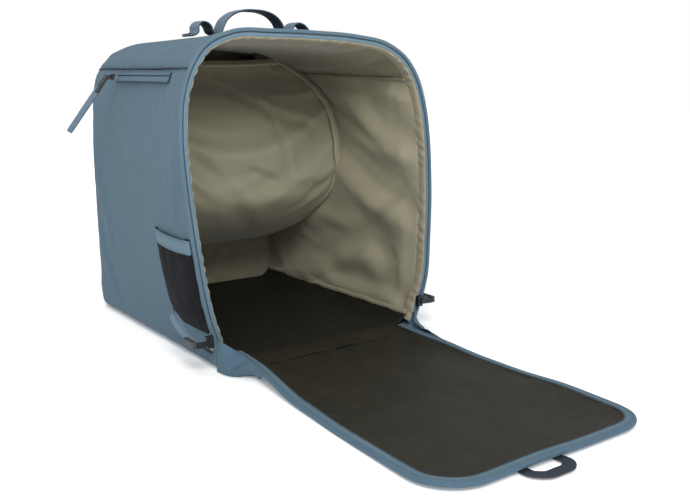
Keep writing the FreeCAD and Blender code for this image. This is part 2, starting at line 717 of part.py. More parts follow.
def flap_ring(label, outer, inner, low, thick):
    """Edging that follows the panel's sides and free edge."""
    keep(cut(label, flap_plate(label + "_full", outer, low, thick),
             flap_plate(label + "_core", inner, "(%s) - 1" % low, "(%s) + 2" % thick)), label)


FLAP_THICK = "flap_skin + flap_core + flap_liner"
TAPE_Z = "(%s) / 2 - tape_wall / 2" % FLAP_THICK
TAPE_IN = "coil_deep + flap_tape"
BOUND_IN = "coil_deep + flap_tape + binding_wide"
keep(flap_plate("flap_outer", BOUND_IN, "0", "flap_skin"), "flap_outer")
keep(flap_plate("flap_foam", BOUND_IN, "flap_skin", "flap_core"), "flap_foam")
keep(flap_plate("flap_tarpaulin", BOUND_IN, "flap_skin + flap_core", "flap_liner"), "flap_tarpaulin")
flap_ring("flap_binding", TAPE_IN, BOUND_IN, "0", "binding_tall")
flap_ring("flap_zip_tape", "coil_deep", TAPE_IN, TAPE_Z, "tape_wall")
flap_ring("flap_zip_coil", "0", "coil_deep", "(%s) / 2 - coil_wide / 2" % FLAP_THICK, "coil_wide")


def grab_loop():
    """Webbing loop that lies flat and shows beyond the panel's free edge."""
    free = "%s - flap_length" % HINGE_Y

    def frame(name, inset, reach, thick, rounds=()):
        """Rectangle of the loop, this far inside its outer edges."""
        left = "grab_x - grab_span / 2 + (%s)" % inset
        right = "grab_x + grab_span / 2 - (%s)" % inset
        end = "%s - grab_long + (%s)" % (free, inset)
        start = "%s + (%s)" % (free, reach)
        return prism(name, "XY_Plane", [(left, end), (right, end), (right, start), (left, start)],
                     "flap_skin + grab_thick / 2", thick, rounds)

    full = frame("grab_full", "0", "-1 * cloth_gap", "grab_thick",
                 [("grab_band * 0.8", lambda middle, reach: along_z(middle, reach)
                   and middle.y < size(free) - size("grab_long") + 1e-3)])
    keep(cut("grab_loop", full, frame("grab_hole", "grab_band", "grab_band", "3 * grab_thick")), "grab_loop")


grab_loop()

# ---------------------------------------------------------------- check, then write one file per sub-part
doc.recompute()
faults = []
for item in doc.Objects:
    if any(word in item.State for word in ("Invalid", "Error")):
        faults.append("%s is %s" % (item.Label, item.State))
for item in NODES:
    if item.Shape.isNull() or not item.Shape.isValid() or item.Shape.Volume <= 0:
        faults.append("%s has a bad shape" % item.Label)
if faults:
    raise RuntimeError("; ".join(faults))
os.makedirs("parts", exist_ok=True)
for item in NODES:
    item.Shape.exportStep("parts/%s.step" % item.Label)
print("wrote %d sub-parts" % len(NODES))
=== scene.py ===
import json
import math

import bpy
import numpy as np
from bpy.props import FloatProperty, IntProperty, PointerProperty
from bpy.types import Operator, Panel, PropertyGroup
from mathutils import Matrix, Vector


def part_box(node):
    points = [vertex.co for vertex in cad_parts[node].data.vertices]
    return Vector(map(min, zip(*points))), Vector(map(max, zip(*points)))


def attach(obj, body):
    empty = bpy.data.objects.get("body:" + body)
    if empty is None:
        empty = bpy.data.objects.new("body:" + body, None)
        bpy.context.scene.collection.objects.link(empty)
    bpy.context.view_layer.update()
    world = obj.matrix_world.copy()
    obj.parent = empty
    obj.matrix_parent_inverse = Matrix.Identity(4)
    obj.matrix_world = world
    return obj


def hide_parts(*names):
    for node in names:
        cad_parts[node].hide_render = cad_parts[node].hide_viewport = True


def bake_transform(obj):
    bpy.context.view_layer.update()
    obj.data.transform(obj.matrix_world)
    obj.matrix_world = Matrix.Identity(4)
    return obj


bl_info = {
    "name": "Ski boot bag builder",
    "version": (1, 0, 0),
    "blender": (4, 5, 0),
    "location": "3D View > Sidebar > Boot bag",
    "description": "Sews the boot bag's fabric, zips and webbing over its frame",
    "category": "Object",
}

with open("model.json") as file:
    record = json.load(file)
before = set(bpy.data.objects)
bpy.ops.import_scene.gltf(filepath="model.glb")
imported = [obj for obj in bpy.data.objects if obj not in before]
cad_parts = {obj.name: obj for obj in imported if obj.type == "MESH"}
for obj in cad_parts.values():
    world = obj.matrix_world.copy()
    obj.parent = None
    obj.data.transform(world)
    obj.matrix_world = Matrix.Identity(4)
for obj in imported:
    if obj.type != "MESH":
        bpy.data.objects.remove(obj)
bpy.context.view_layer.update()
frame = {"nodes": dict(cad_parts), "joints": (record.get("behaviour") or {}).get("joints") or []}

MM = 0.001
FACE_CLOTH = 1.0 * MM
LINING_CLOTH = 0.8 * MM
FLOOR_SHEET = 0.9 * MM
MAT_SHEET = 1.4 * MM
KNIT = 0.9 * MM
MESH_NET = 0.6 * MM


# ---------------------------------------------------------------- sizes read from the frame
def low(node):
    return np.array(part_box(node)[0])


def high(node):
    return np.array(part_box(node)[1])


FRONT_Y = low("side_panel_left")[1]
BACK_Y = high("back_panel")[1]
TOP_Z = high("top_gusset")[2]
HALF_X = high("side_panel_right")[0]
CORNER = 0.025
SHOULDER_Y = BACK_Y - CORNER
HINGE_Y = high("flap_outer")[1]
FREE_Y = low("flap_zip_coil")[1]
JOINTS = {joint["name"]: joint for joint in frame["joints"]}

# Rim and rear outlines from the left foot over the top to the right foot, as shares of the
# frame's half width and height.
RIM_LINE = np.array([
    (-0.770, 0.000), (-0.822, 0.010), (-0.832, 0.080), (-0.878, 0.152), (-0.950, 0.325),
    (-1.012, 0.540), (-1.032, 0.712), (-1.012, 0.812), (-0.955, 0.888), (-0.835, 0.957),
    (-0.655, 0.993), (-0.335, 1.000), (0.000, 0.998), (0.335, 0.990), (0.610, 0.968),
    (0.775, 0.925), (0.885, 0.865), (0.960, 0.780), (1.010, 0.655), (1.033, 0.488),
    (1.028, 0.312), (1.000, 0.165), (0.925, 0.070), (0.850, 0.010), (0.780, 0.000)])
REAR_LINE = np.array([
    (-0.760, 0.000), (-0.838, 0.010), (-0.870, 0.060), (-0.874, 0.150), (-0.882, 0.325),
    (-0.884, 0.540), (-0.876, 0.712), (-0.852, 0.812), (-0.790, 0.890), (-0.675, 0.950),
    (-0.525, 0.982), (-0.276, 0.998), (0.000, 1.002), (0.276, 0.998), (0.525, 0.982),
    (0.675, 0.950), (0.790, 0.890), (0.852, 0.812), (0.876, 0.712), (0.884, 0.540),
    (0.882, 0.325), (0.874, 0.150), (0.870, 0.060), (0.838, 0.010), (0.760, 0.000)])
LEFT_SEAM = 8
RIGHT_SEAM = 16
LINING_INSET = 9.5 * MM
PADDING = 1.5 * MM
WALL_BOW = 2.5 * MM
LAST = len(RIM_LINE) - 1


# ---------------------------------------------------------------- curves and the wall's shape
def spline(points, at):
    """Smooth curve through the points, which sit at 0, 1, 2 ...; spacing follows their distances."""
    points = np.asarray(points, float)
    step = np.linalg.norm(np.diff(points, axis=0), axis=1)
    step = np.maximum(step, 1e-9)[:, None]
    slope = np.diff(points, axis=0) / step
    tangent = np.empty_like(points)
    tangent[1:-1] = (slope[:-1] * step[1:] + slope[1:] * step[:-1]) / (step[1:] + step[:-1])
    tangent[0] = 1.5 * slope[0] - 0.5 * tangent[1]
    tangent[-1] = 1.5 * slope[-1] - 0.5 * tangent[-2]
    at = np.clip(np.asarray(at, float), 0, len(points) - 1)
    cell = np.minimum(at.astype(int), len(points) - 2)
    t = (at - cell)[:, None]
    h = step[cell]
    return ((2 * t ** 3 - 3 * t ** 2 + 1) * points[cell] + (t ** 3 - 2 * t ** 2 + t) * h * tangent[cell]
            + (3 * t ** 2 - 2 * t ** 3) * points[cell + 1] + (t ** 3 - t ** 2) * h * tangent[cell + 1])


def arc_length(points):
    return np.concatenate(([0], np.cumsum(np.linalg.norm(np.diff(points, axis=0), axis=1))))


def even(points, count):
    """The same line, sampled at count places an equal distance apart."""
    points = np.asarray(points, float)
    fine = spline(points, np.linspace(0, len(points) - 1, 40 * len(points)))
    run = arc_length(fine)
    wanted = np.linspace(0, run[-1], count)
    return np.stack([np.interp(wanted, run, fine[:, k]) for k in range(fine.shape[1])], axis=1)


def smooth(value, start, end):
    t = np.clip((value - start) / (end - start), 0, 1)
    return t * t * (3 - 2 * t)


def even_shares(first, last, count):
    """Places on the rim line between two of its points, an equal distance apart."""
    fine = np.linspace(first, last, 600)
    run = arc_length(spline(RIM_LINE, fine) * (HALF_X, TOP_Z))
    return np.interp(np.linspace(0, run[-1], count), run, fine)


def outline(y, shares, inset):
    """Wall line at one depth: x and z at each share of the rim line, moved in by inset."""
    depth = np.clip((y - FRONT_Y) / (SHOULDER_Y - FRONT_Y), 0, 1)
    blend = depth ** 0.85
    controls = (RIM_LINE * (1 - blend) + REAR_LINE * blend) * (HALF_X, TOP_Z)
    line = spline(controls, shares)
    delta = 0.02
    ahead = spline(controls, shares + delta) - spline(controls, shares - delta)
    ahead /= np.maximum(np.linalg.norm(ahead, axis=1), 1e-9)[:, None]
    inward = np.stack([ahead[:, 1], -ahead[:, 0]], axis=1)
    return line + inward * np.reshape(inset, (-1, 1)), inward


def wall(shares, depths, inset=0.0, round_rear=True):
    """Grid of the wall: rows run back along the depth, columns along the shares; returns points, inward."""
    rows = []
    normals = []
    for depth in depths:
        past = max(0.0, depth - SHOULDER_Y) / CORNER
        extra = CORNER * (1 - math.sqrt(max(0.0, 1 - min(past, 1.0) ** 2))) if round_rear else 0.0
        line, inward = outline(depth, shares, inset + extra)
        middle = math.sin(math.pi * min(1.0, (depth - FRONT_Y) / (SHOULDER_Y - FRONT_Y)))
        rise = np.clip(line[:, 1] / TOP_Z, 0, 1)
        line = line + inward * (WALL_BOW * middle * np.sin(math.pi * rise))[:, None]
        rows.append(np.column_stack([line[:, 0], np.full(len(line), depth), line[:, 1]]))
        normals.append(np.column_stack([inward[:, 0], np.zeros(len(line)), inward[:, 1]]))
    return np.array(rows), np.array(normals)


def wall_spot(y, z, side, inset):
    """Point of the wall at this depth and height on one side (-1 left, 1 right), and the way in."""
    shares = np.linspace(0, LEFT_SEAM + 2, 240) if side < 0 else np.linspace(LAST, RIGHT_SEAM - 2, 240)
    line, inward = outline(y, shares, inset)
    share = np.interp(z, line[:, 1], np.arange(len(line)))
    x = np.interp(share, np.arange(len(line)), line[:, 0])
    way = np.array([np.interp(share, np.arange(len(line)), inward[:, k]) for k in range(2)])
    return np.array([x, y, z]), np.array([way[0], 0, way[1]])


def ripple(points, seed, wave, amount, octaves=3):
    """Smooth random height at each point, from a few seeded plane waves."""
    rng = np.random.default_rng(seed)
    flat = points.reshape(-1, 3)
    total = np.zeros(len(flat))
    for octave in range(octaves):
        for _ in range(5):
            way = rng.normal(size=3)
            way /= np.linalg.norm(way)
            length = wave * rng.uniform(0.7, 1.4) / 1.9 ** octave
            total += np.sin(flat @ way * 2 * math.pi / length + rng.uniform(0, 6.28)) / 1.9 ** octave
    return (amount * total / 3.2).reshape(points.shape[:-1])


# ---------------------------------------------------------------- making meshes
def clean_slate():
    if bpy.context.mode != "OBJECT":
        bpy.ops.object.mode_set(mode="OBJECT")
    bpy.ops.object.select_all(action="DESELECT")


def pick(piece):
    clean_slate()
    piece.select_set(True)
    bpy.context.view_layer.objects.active = piece


def set_uv(mesh, per_vertex):
    index = np.empty(len(mesh.loops), int)
    mesh.loops.foreach_get("vertex_index", index)
    layer = mesh.uv_layers.active or mesh.uv_layers.new(name="UVMap")
    layer.uv.foreach_set("vector", np.ascontiguousarray(per_vertex[index], dtype=np.float32).ravel())


def sheet_mesh(name, points, across=None, along=None, around=False, turn=False):
    """Sheet from a grid of points [row][column]; UVs are in metres; around closes the columns."""
    points = np.asarray(points, float)
    if turn:
        points = points[:, ::-1]
    rows, columns = points.shape[:2]
    clean_slate()
    bpy.ops.mesh.primitive_grid_add(x_subdivisions=columns - 1, y_subdivisions=rows - 1, size=1)
    piece = bpy.context.object
    piece.name = name
    piece.data.name = name
    if across is None:
        across = arc_length(points[rows // 2])
    if along is None:
        along = arc_length(points[:, columns // 2])
    uv = np.stack(np.meshgrid(across, along), axis=-1).reshape(-1, 2)
    set_uv(piece.data, uv)
    piece.data.vertices.foreach_set("co", points.reshape(-1, 3).astype(np.float32).ravel())
    piece.data.update()
    if around:
        pick(piece)
        bpy.ops.object.mode_set(mode="EDIT")
        bpy.ops.mesh.select_all(action="SELECT")
        bpy.ops.mesh.remove_doubles(threshold=1e-6)
        bpy.ops.mesh.normals_make_consistent(inside=False)
        bpy.ops.object.mode_set(mode="OBJECT")
    pick(piece)
    bpy.ops.object.shade_smooth()
    return piece


def apply(piece, kind, **settings):
    """Adds one modifier, sets it and applies it."""
    pick(piece)
    modifier = piece.modifiers.new(kind.title(), kind)
    for key, value in settings.items():
        setattr(modifier, key, value)
    bpy.ops.object.modifier_apply(modifier=modifier.name)


def thicken(piece, thick):
    apply(piece, "SOLIDIFY", thickness=thick, offset=-1.0)


def soften(piece, levels=1):
    apply(piece, "SUBSURF", levels=levels, render_levels=levels)


def coords(piece):
    spots = np.empty(3 * len(piece.data.vertices), np.float32)
    piece.data.vertices.foreach_get("co", spots)
    return spots.reshape(-1, 3).astype(float)


def normals_of(piece):
    values = np.empty(3 * len(piece.data.vertices), np.float32)
    piece.data.vertices.foreach_get("normal", values)
    return values.reshape(-1, 3).astype(float)


def place(piece, spots):
    piece.data.vertices.foreach_set("co", np.asarray(spots, np.float32).ravel())
    piece.data.update()


def settle(piece, sewn, growth, inwards, outwards, seed, frames=20, gravity=0.15, wave=0.07):
    """Lets a sewn sheet buckle; growth is how much more cloth there is than the shape needs."""
    start = coords(piece)
    way = normals_of(piece)
    sewn = np.clip(np.asarray(sewn, float).ravel(), 0, 1)
    free = 1 - sewn
    seeded = start + way * (ripple(start, seed, wave, 0.6 * MM) * free)[:, None]
    place(piece, seeded)
    group = piece.vertex_groups.new(name="sewn")
    for step in range(1, 11):
        level = step / 10
        members = np.nonzero(np.round(sewn, 1) == round(level, 1))[0]
        if len(members):
            group.add(members.tolist(), level, "REPLACE")
    pick(piece)
    cloth = piece.modifiers.new("Cloth", "CLOTH")
    cloth.settings.quality = 5
    cloth.settings.mass = 0.2
    cloth.settings.tension_stiffness = 25
    cloth.settings.compression_stiffness = 25
    cloth.settings.shear_stiffness = 8
    cloth.settings.bending_stiffness = 0.25
    cloth.settings.vertex_group_mass = "sewn"
    cloth.settings.shrink_min = -growth
    cloth.settings.effector_weights.gravity = gravity
    cloth.collision_settings.use_collision = False
    cloth.collision_settings.use_self_collision = False
    cloth.point_cache.frame_start = 1
    cloth.point_cache.frame_end = frames
    scene = bpy.context.scene
    for number in range(1, frames + 1):
        scene.frame_set(number)
    bpy.ops.object.modifier_apply(modifier=cloth.name)
    scene.frame_set(1)
    piece.vertex_groups.clear()
    moved = coords(piece) - start
    lift = np.sum(moved * way, axis=1)
    slide = moved - way * lift[:, None]
    slide *= np.minimum(1, 3 * MM / np.maximum(np.linalg.norm(slide, axis=1), 1e-9))[:, None]
    capped = np.where(lift > 0, outwards * np.tanh(lift / outwards), inwards * np.tanh(lift / inwards))
    place(piece, start + slide + way * capped[:, None])


def frames_along(path, up):
    """Tangent, side and up at each point of a path, with up kept near the given way."""
    path = np.asarray(path, float)
    tangent = np.gradient(path, axis=0)
    tangent /= np.linalg.norm(tangent, axis=1)[:, None]
    up = np.broadcast_to(np.asarray(up, float), path.shape)
    side = np.cross(tangent, up)
    side /= np.maximum(np.linalg.norm(side, axis=1), 1e-9)[:, None]
    return tangent, side, np.cross(side, tangent)


def sweep(name, path, profile, up, closed_ends=True, scale=None):
    """Closed profile of (side, up) offsets carried along a path; the ends are capped by drawing them in."""
    path = np.asarray(path, float)
    _, side, rise = frames_along(path, up)
    profile = np.asarray(profile, float)
    profile = np.vstack([profile, profile[:1]])
    size = np.ones(len(path)) if scale is None else np.asarray(scale, float)
    grid = (path[:, None] + side[:, None] * (profile[:, 0] * size[:, None])[..., None]
            + rise[:, None] * (profile[:, 1] * size[:, None])[..., None])
    along = arc_length(path)
    if closed_ends:
        middle_a = grid[0, :-1].mean(axis=0)
        middle_b = grid[-1, :-1].mean(axis=0)
        grid = np.concatenate([[middle_a + (grid[0] - middle_a) * 1e-5], grid,
                               [middle_b + (grid[-1] - middle_b) * 1e-5]])
        along = np.concatenate([[along[0]], along, [along[-1]]])
    across = arc_length(profile)
    grid[:, -1] = grid[:, 0]
    return sheet_mesh(name, grid, across=across, along=along, around=True, turn=True)


def oval(wide, tall, count=12, square=2.0, shift=(0, 0)):
    """Closed profile, round at square 2 and nearer to a rounded rectangle above that."""
    angle = np.linspace(0, 2 * math.pi, count, endpoint=False) + math.pi / count
    c = np.cos(angle)
    s = np.sin(angle)
    return np.column_stack([np.sign(c) * np.abs(c) ** (2 / square) * wide / 2 + shift[0],
                            np.sign(s) * np.abs(s) ** (2 / square) * tall / 2 + shift[1]])


def ribbon(wide, thick, shift=(0, 0), cells=8):
    """Closed flat profile with rounded edges, wide along side and thick along up."""
    xs = np.linspace(-wide / 2, wide / 2, cells)
    half = thick / 2 * np.sqrt(np.clip(1 - (2 * xs / wide) ** 10, 0.12, 1))
    top = np.column_stack([xs[::-1], half[::-1]])
    bottom = np.column_stack([xs, -half])
    return np.vstack([top, bottom]) + np.asarray(shift)


def copies(name, shape, spots, ways, ups):
    """Many copies of one small shape, each at a spot with its x along the way and its z up."""
    clean_slate()
    long, wide, tall = shape
    bpy.ops.mesh.primitive_cube_add(size=1)
    piece = bpy.context.object
    piece.name = name
    pick(piece)
    bpy.ops.object.mode_set(mode="EDIT")
    bpy.ops.mesh.bevel(offset=0.28, segments=1, affect="EDGES")
    bpy.ops.object.mode_set(mode="OBJECT")
    unit = coords(piece) * (long, wide, tall)
    faces = [tuple(face.vertices) for face in piece.data.polygons]
    spots = np.asarray(spots, float)
    ways = np.broadcast_to(np.asarray(ways, float), spots.shape)
    ways = ways / np.linalg.norm(ways, axis=1)[:, None]
    ups = np.broadcast_to(np.asarray(ups, float), spots.shape)
    sides = np.cross(ups, ways)
    sides /= np.maximum(np.linalg.norm(sides, axis=1), 1e-9)[:, None]
    ups = np.cross(ways, sides)
    every = (spots[:, None] + ways[:, None] * unit[None, :, :1] + sides[:, None] * unit[None, :, 1:2]
             + ups[:, None] * unit[None, :, 2:])
    count = len(unit)
    mesh = piece.data
    mesh.clear_geometry()
    mesh.from_pydata(every.reshape(-1, 3).tolist(), [],
                     [tuple(k * count + v for v in face) for k in range(len(spots)) for face in faces])
    mesh.update()
    mesh.name = name
    pick(piece)
    bpy.ops.object.shade_smooth()
    return piece


def stitches(name, path, up, pitch=3.6 * MM, long=2.6 * MM, thick=0.55 * MM, lift=0.15 * MM):
    """Row of lockstitches along a path."""
    path = np.asarray(path, float)
    run = arc_length(path)
    at = np.arange(pitch / 2, run[-1], pitch)
    spots = np.stack([np.interp(at, run, path[:, k]) for k in range(3)], axis=1)
    ways = np.gradient(spots, axis=0)
    ups = np.broadcast_to(np.asarray(up, float), path.shape)
    ups = np.stack([np.interp(at, run, ups[:, k]) for k in range(3)], axis=1)
    ups /= np.linalg.norm(ups, axis=1)[:, None]
    return finish_piece(copies(name, (long, thick, thick), spots + ups * lift, ways, ups), "thread")


def teeth(name, path, up, pitch, shape):
    """Nylon coil seen as its row of turns along a path, each turn across the path."""
    path = np.asarray(path, float)
    run = arc_length(path)
    at = np.arange(pitch / 2, run[-1], pitch)
    spots = np.stack([np.interp(at, run, path[:, k]) for k in range(3)], axis=1)
    along = np.gradient(spots, axis=0)
    ups = np.broadcast_to(np.asarray(up, float), path.shape)
    ups = np.stack([np.interp(at, run, ups[:, k]) for k in range(3)], axis=1)
    return copies(name, shape, spots, np.cross(ups, along), ups)


# ---------------------------------------------------------------- materials
def linear(code):
    """Linear colour of an sRGB hex code."""
    values = [int(code[k:k + 2], 16) / 255 for k in (0, 2, 4)]
    return tuple(v / 12.92 if v <= 0.04045 else ((v + 0.055) / 1.055) ** 2.4 for v in values) + (1.0,)


def node(tree, kind, inputs=(), **settings):
    """Adds one node; inputs are (socket, value or output socket) pairs."""
    item = tree.nodes.new(kind)
    for key, value in settings.items():
        setattr(item, key, value)
    for socket, value in inputs:
        if isinstance(value, bpy.types.NodeSocket):
            tree.links.new(value, item.inputs[socket])
        else:
            item.inputs[socket].default_value = value
    return item


def mix_colour(tree, factor, first, second, blend="MIX"):
    item = node(tree, "ShaderNodeMix", [(0, factor), (6, first), (7, second)], data_type="RGBA",
                blend_type=blend)
    return item.outputs[2]


def maths(tree, operation, first, second=0.0, third=0.0):
    return node(tree, "ShaderNodeMath", [(0, first), (1, second), (2, third)], operation=operation).outputs[0]


def fresh(name):
    """Empty node material and its Principled shader."""
    material = bpy.data.materials.new(name)
    material.use_nodes = True
    tree = material.node_tree
    return material, tree, tree.nodes["Principled BSDF"]


def woven(name, code, shade, thread_mm, rough, sheen=0.0, bump=0.5, patch=0.5, streak=0.0, coat=0.0, rib=1.0,
          gloss=0.3):
    """Cloth: a weave of this pitch, soft patches of a second shade, and fine fuzz in its roughness."""
    material, tree, shader = fresh(name)
    place_ = node(tree, "ShaderNodeTexCoord")
    metres = place_.outputs["UV"]
    body = place_.outputs["Object"]
    scale = 0.31416 / (thread_mm * MM)
    warp = node(tree, "ShaderNodeTexWave", [("Vector", metres), ("Scale", scale)], bands_direction="X")
    weft = node(tree, "ShaderNodeTexWave", [("Vector", metres), ("Scale", scale * rib)], bands_direction="Y")
    threads = maths(tree, "MAXIMUM", warp.outputs["Fac"], weft.outputs["Fac"])
    broad = node(tree, "ShaderNodeTexNoise",
                 [("Vector", body), ("Scale", 9.0), ("Detail", 5.0), ("Roughness", 0.6)])
    fine = node(tree, "ShaderNodeTexNoise",
                [("Vector", body), ("Scale", 420.0), ("Detail", 4.0), ("Roughness", 0.7)])
    mid = node(tree, "ShaderNodeTexNoise", [("Vector", body), ("Scale", 70.0), ("Detail", 3.0)])
    cloud = node(tree, "ShaderNodeMapRange",
                 [(0, broad.outputs["Fac"]), (1, 0.35), (2, 0.65), (3, 0.0), (4, patch)])
    colour = mix_colour(tree, cloud.outputs[0], linear(code), linear(shade))
    grain = node(tree, "ShaderNodeMapRange",
                 [(0, fine.outputs["Fac"]), (1, 0.3), (2, 0.7), (3, 0.0), (4, 0.28)])
    colour = mix_colour(tree, grain.outputs[0], colour, linear(shade), "MIX")
    dip = node(tree, "ShaderNodeMapRange", [(0, threads), (1, 0.0), (2, 1.0), (3, 0.82), (4, 1.04)])
    colour = mix_colour(tree, 1.0, colour, dip.outputs[0], "MULTIPLY")
    if streak:
        slub = node(tree, "ShaderNodeTexNoise", [
            ("Vector",
             node(tree, "ShaderNodeMapping", [("Vector", metres), ("Scale", (900.0, 12.0, 1.0))]).outputs[0]),
            ("Scale", 1.0), ("Detail", 2.0)])
        shift = node(tree, "ShaderNodeMapRange", [(0, slub.outputs["Fac"]), (3, 1 - streak), (4, 1 + streak)])
        colour = mix_colour(tree, 1.0, colour, shift.outputs[0], "MULTIPLY")
    tree.links.new(colour, shader.inputs["Base Color"])
    matt = node(tree, "ShaderNodeMapRange",
                [(0, mid.outputs["Fac"]), (1, 0.3), (2, 0.7), (3, rough - 0.06), (4, rough + 0.06)])
    tree.links.new(matt.outputs[0], shader.inputs["Roughness"])
    height = maths(tree, "ADD", maths(tree, "MULTIPLY", threads, 0.7),
                   maths(tree, "MULTIPLY", fine.outputs["Fac"], 0.6))
    relief = node(tree, "ShaderNodeBump", [("Strength", bump), ("Distance", 0.35 * MM), ("Height", height)])
    swell = node(tree, "ShaderNodeBump",
                 [("Strength", 0.35), ("Distance", 1.2 * MM), ("Height", mid.outputs["Fac"]),
                                          ("Normal", relief.outputs[0])])
    tree.links.new(swell.outputs[0], shader.inputs["Normal"])
    shader.inputs["Sheen Weight"].default_value = sheen
    shader.inputs["Sheen Roughness"].default_value = 0.45
    shader.inputs["Coat Weight"].default_value = coat
    shader.inputs["Specular IOR Level"].default_value = gloss
    return material


def moulded(name, code, shade, rough, metal=0.0, grain=900.0, bump=0.15):
    """Hard trim: fine surface grain, and lighter rubbed patches that are smoother."""
    material, tree, shader = fresh(name)
    body = node(tree, "ShaderNodeTexCoord").outputs["Object"]
    fine = node(tree, "ShaderNodeTexNoise", [("Vector", body), ("Scale", grain), ("Detail", 3.0)])
    rub = node(tree, "ShaderNodeTexNoise", [("Vector", body), ("Scale", 130.0), ("Detail", 4.0)])
    worn = node(tree, "ShaderNodeMapRange",
                [(0, rub.outputs["Fac"]), (1, 0.5), (2, 0.75), (3, 0.0), (4, 0.6)])
    tree.links.new(mix_colour(tree, worn.outputs[0], linear(code), linear(shade)),
                   shader.inputs["Base Color"])
    shine = node(tree, "ShaderNodeMapRange", [(0, rub.outputs["Fac"]), (3, rough + 0.1), (4, rough - 0.1)])
    tree.links.new(shine.outputs[0], shader.inputs["Roughness"])
    relief = node(tree, "ShaderNodeBump",
                  [("Strength", bump), ("Distance", 0.2 * MM), ("Height", fine.outputs["Fac"])])
    tree.links.new(relief.outputs[0], shader.inputs["Normal"])
    shader.inputs["Metallic"].default_value = metal
    return material


MATERIALS = {}


def make_materials():
    # Blue-grey face cloth: a fine matt weave with slightly paler clouds.
    MATERIALS["shell"] = woven("woven_polyester_600d", "476172", "4f6a7b", 0.62, 0.78, sheen=0.06,
                               streak=0.06)
    # Base cloth: the same yarn, darker and duller under its coating.
    MATERIALS["base"] = woven("coated_woven_polyester", "465d6c", "3c505e", 0.62, 0.65, streak=0.05)
    # Khaki lining: satin sheen that catches the crests of its folds.
    MATERIALS["lining"] = woven("satin_nylon_lining", "98947f", "88846f", 0.5, 0.36, sheen=0.25, bump=0.2,
                                streak=0.04)
    # Darker satin on the ceiling: the lining's khaki satin with painted shade, as the roof faces down away
    # from the lights.
    MATERIALS["ceiling"] = woven("satin_nylon_ceiling_painted_shade", "7f7c66", "716e59", 0.5, 0.4, sheen=0.2, bump=0.2)
    # Black-brown coated sheet of the mat and floor: semi-gloss with pebbly grain.
    MATERIALS["tarpaulin"] = woven("pvc_tarpaulin", "26241a", "1a1913", 1.1, 0.5, bump=0.5, patch=0.8)
    # Near black tarpaulin inside the bag: the mat's tarpaulin darkened with painted shade.
    MATERIALS["floor"] = woven("pvc_tarpaulin_floor_painted_shade", "1b1a14", "12110d", 1.1, 0.6, bump=0.5)
    # Beige tape that covers the inside seams: plain weave, quite matt.
    MATERIALS["binding"] = woven("cotton_blend_binding", "a39c86", "8d8671", 0.7, 0.7, sheen=0.1)
    # Light blue-grey edge tape.
    MATERIALS["edge"] = woven("polyester_edge_binding", "59717f", "4d6472", 0.55, 0.7, sheen=0.06)
    # Zip tape: tight herringbone seen as fine ribs.
    MATERIALS["tape"] = woven("woven_zip_tape", "668090", "587181", 0.5, 0.7, rib=0.5)
    # Dark tape of the side zip.
    MATERIALS["dark_tape"] = woven("woven_zip_tape_dark", "303b43", "28313a", 0.5, 0.66, rib=0.5)
    # Blue-grey webbing: broad ribs across the strap.
    MATERIALS["webbing"] = woven("polyester_webbing", "66798a", "596b7b", 1.4, 0.7, bump=0.9, rib=0.4)
    # Navy webbing on the inside of the handle.
    MATERIALS["webbing_dark"] = woven("polypropylene_webbing", "2c3541", "222a34", 1.4, 0.6, bump=0.9,
                                      rib=0.4)
    # Black stretch knit of the stash pocket: fine ribs and a dull sheen.
    MATERIALS["knit"] = woven("stretch_knit", "14171c", "0d0f13", 0.9, 0.75, bump=0.7, gloss=0.12)
    # Dark mesh insert.
    MATERIALS["mesh"] = woven("warp_knit_mesh", "34352f", "26271f", 2.2, 0.7, bump=1.0)
    # Sewing thread: a shade lighter than the cloth.
    MATERIALS["thread"] = woven("polyester_thread", "5d7889", "4f6979", 0.3, 0.6, sheen=0.05)
    MATERIALS["beige_thread"] = woven("polyester_thread_beige", "99917a", "857e6a", 0.3, 0.6, sheen=0.3)
    # Foam inside the walls: pale, open and matt.
    MATERIALS["foam"] = woven("closed_cell_foam", "d6d3c9", "c5c2b6", 2.5, 0.85)
    # Zip coil: smooth nylon with a low gloss.
    MATERIALS["coil"] = moulded("nylon_zip_coil", "35424c", "46545f", 0.38)
    MATERIALS["slider"] = moulded("lacquered_zinc_slider", "25292d", "3a4045", 0.36, metal=0.5)
    MATERIALS["pull"] = moulded("moulded_acetal_pull", "2c3236", "454c51", 0.5)


def finish_piece(piece, material, body="bag", nodes=()):
    """Gives the piece its material and its body, and hides the frame nodes it stands for."""
    piece.data.materials.clear()
    piece.data.materials.append(MATERIALS[material])
    if body:
        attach(piece, body)
    if nodes:
        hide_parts(*nodes)
    return piece


# ---------------------------------------------------------------- the sewn shell
LEFT_SHARES = even_shares(0, LEFT_SEAM, 56)
TOP_SHARES = even_shares(LEFT_SEAM, RIGHT_SEAM, 56)
RIGHT_SHARES = even_shares(RIGHT_SEAM, LAST, 56)
WALL_DEPTHS = np.concatenate([np.linspace(FRONT_Y + 1.5 * MM, SHOULDER_Y, 52),
                              SHOULDER_Y + CORNER * np.sin(np.radians((18, 36, 54, 72, 84)))])


def edge_hold(points, reach, sides=(1, 1, 1, 1)):
    """How firmly each grid point is sewn: 1 on the border rows and columns, 0 past reach."""
    rows, columns = points.shape[:2]
    down = arc_length(points[:, columns // 2])
    across = arc_length(points[rows // 2])
    gaps = [np.broadcast_to(down[:, None], (rows, columns)),
            np.broadcast_to(down[-1] - down[:, None], (rows, columns)),
            np.broadcast_to(across[None], (rows, columns)),
            np.broadcast_to(across[-1] - across[None], (rows, columns))]
    hold = np.zeros((rows, columns))
    for gap, wanted in zip(gaps, sides):
        if wanted:
            hold = np.maximum(hold, 1 - np.clip(gap / reach, 0, 1))
    return hold


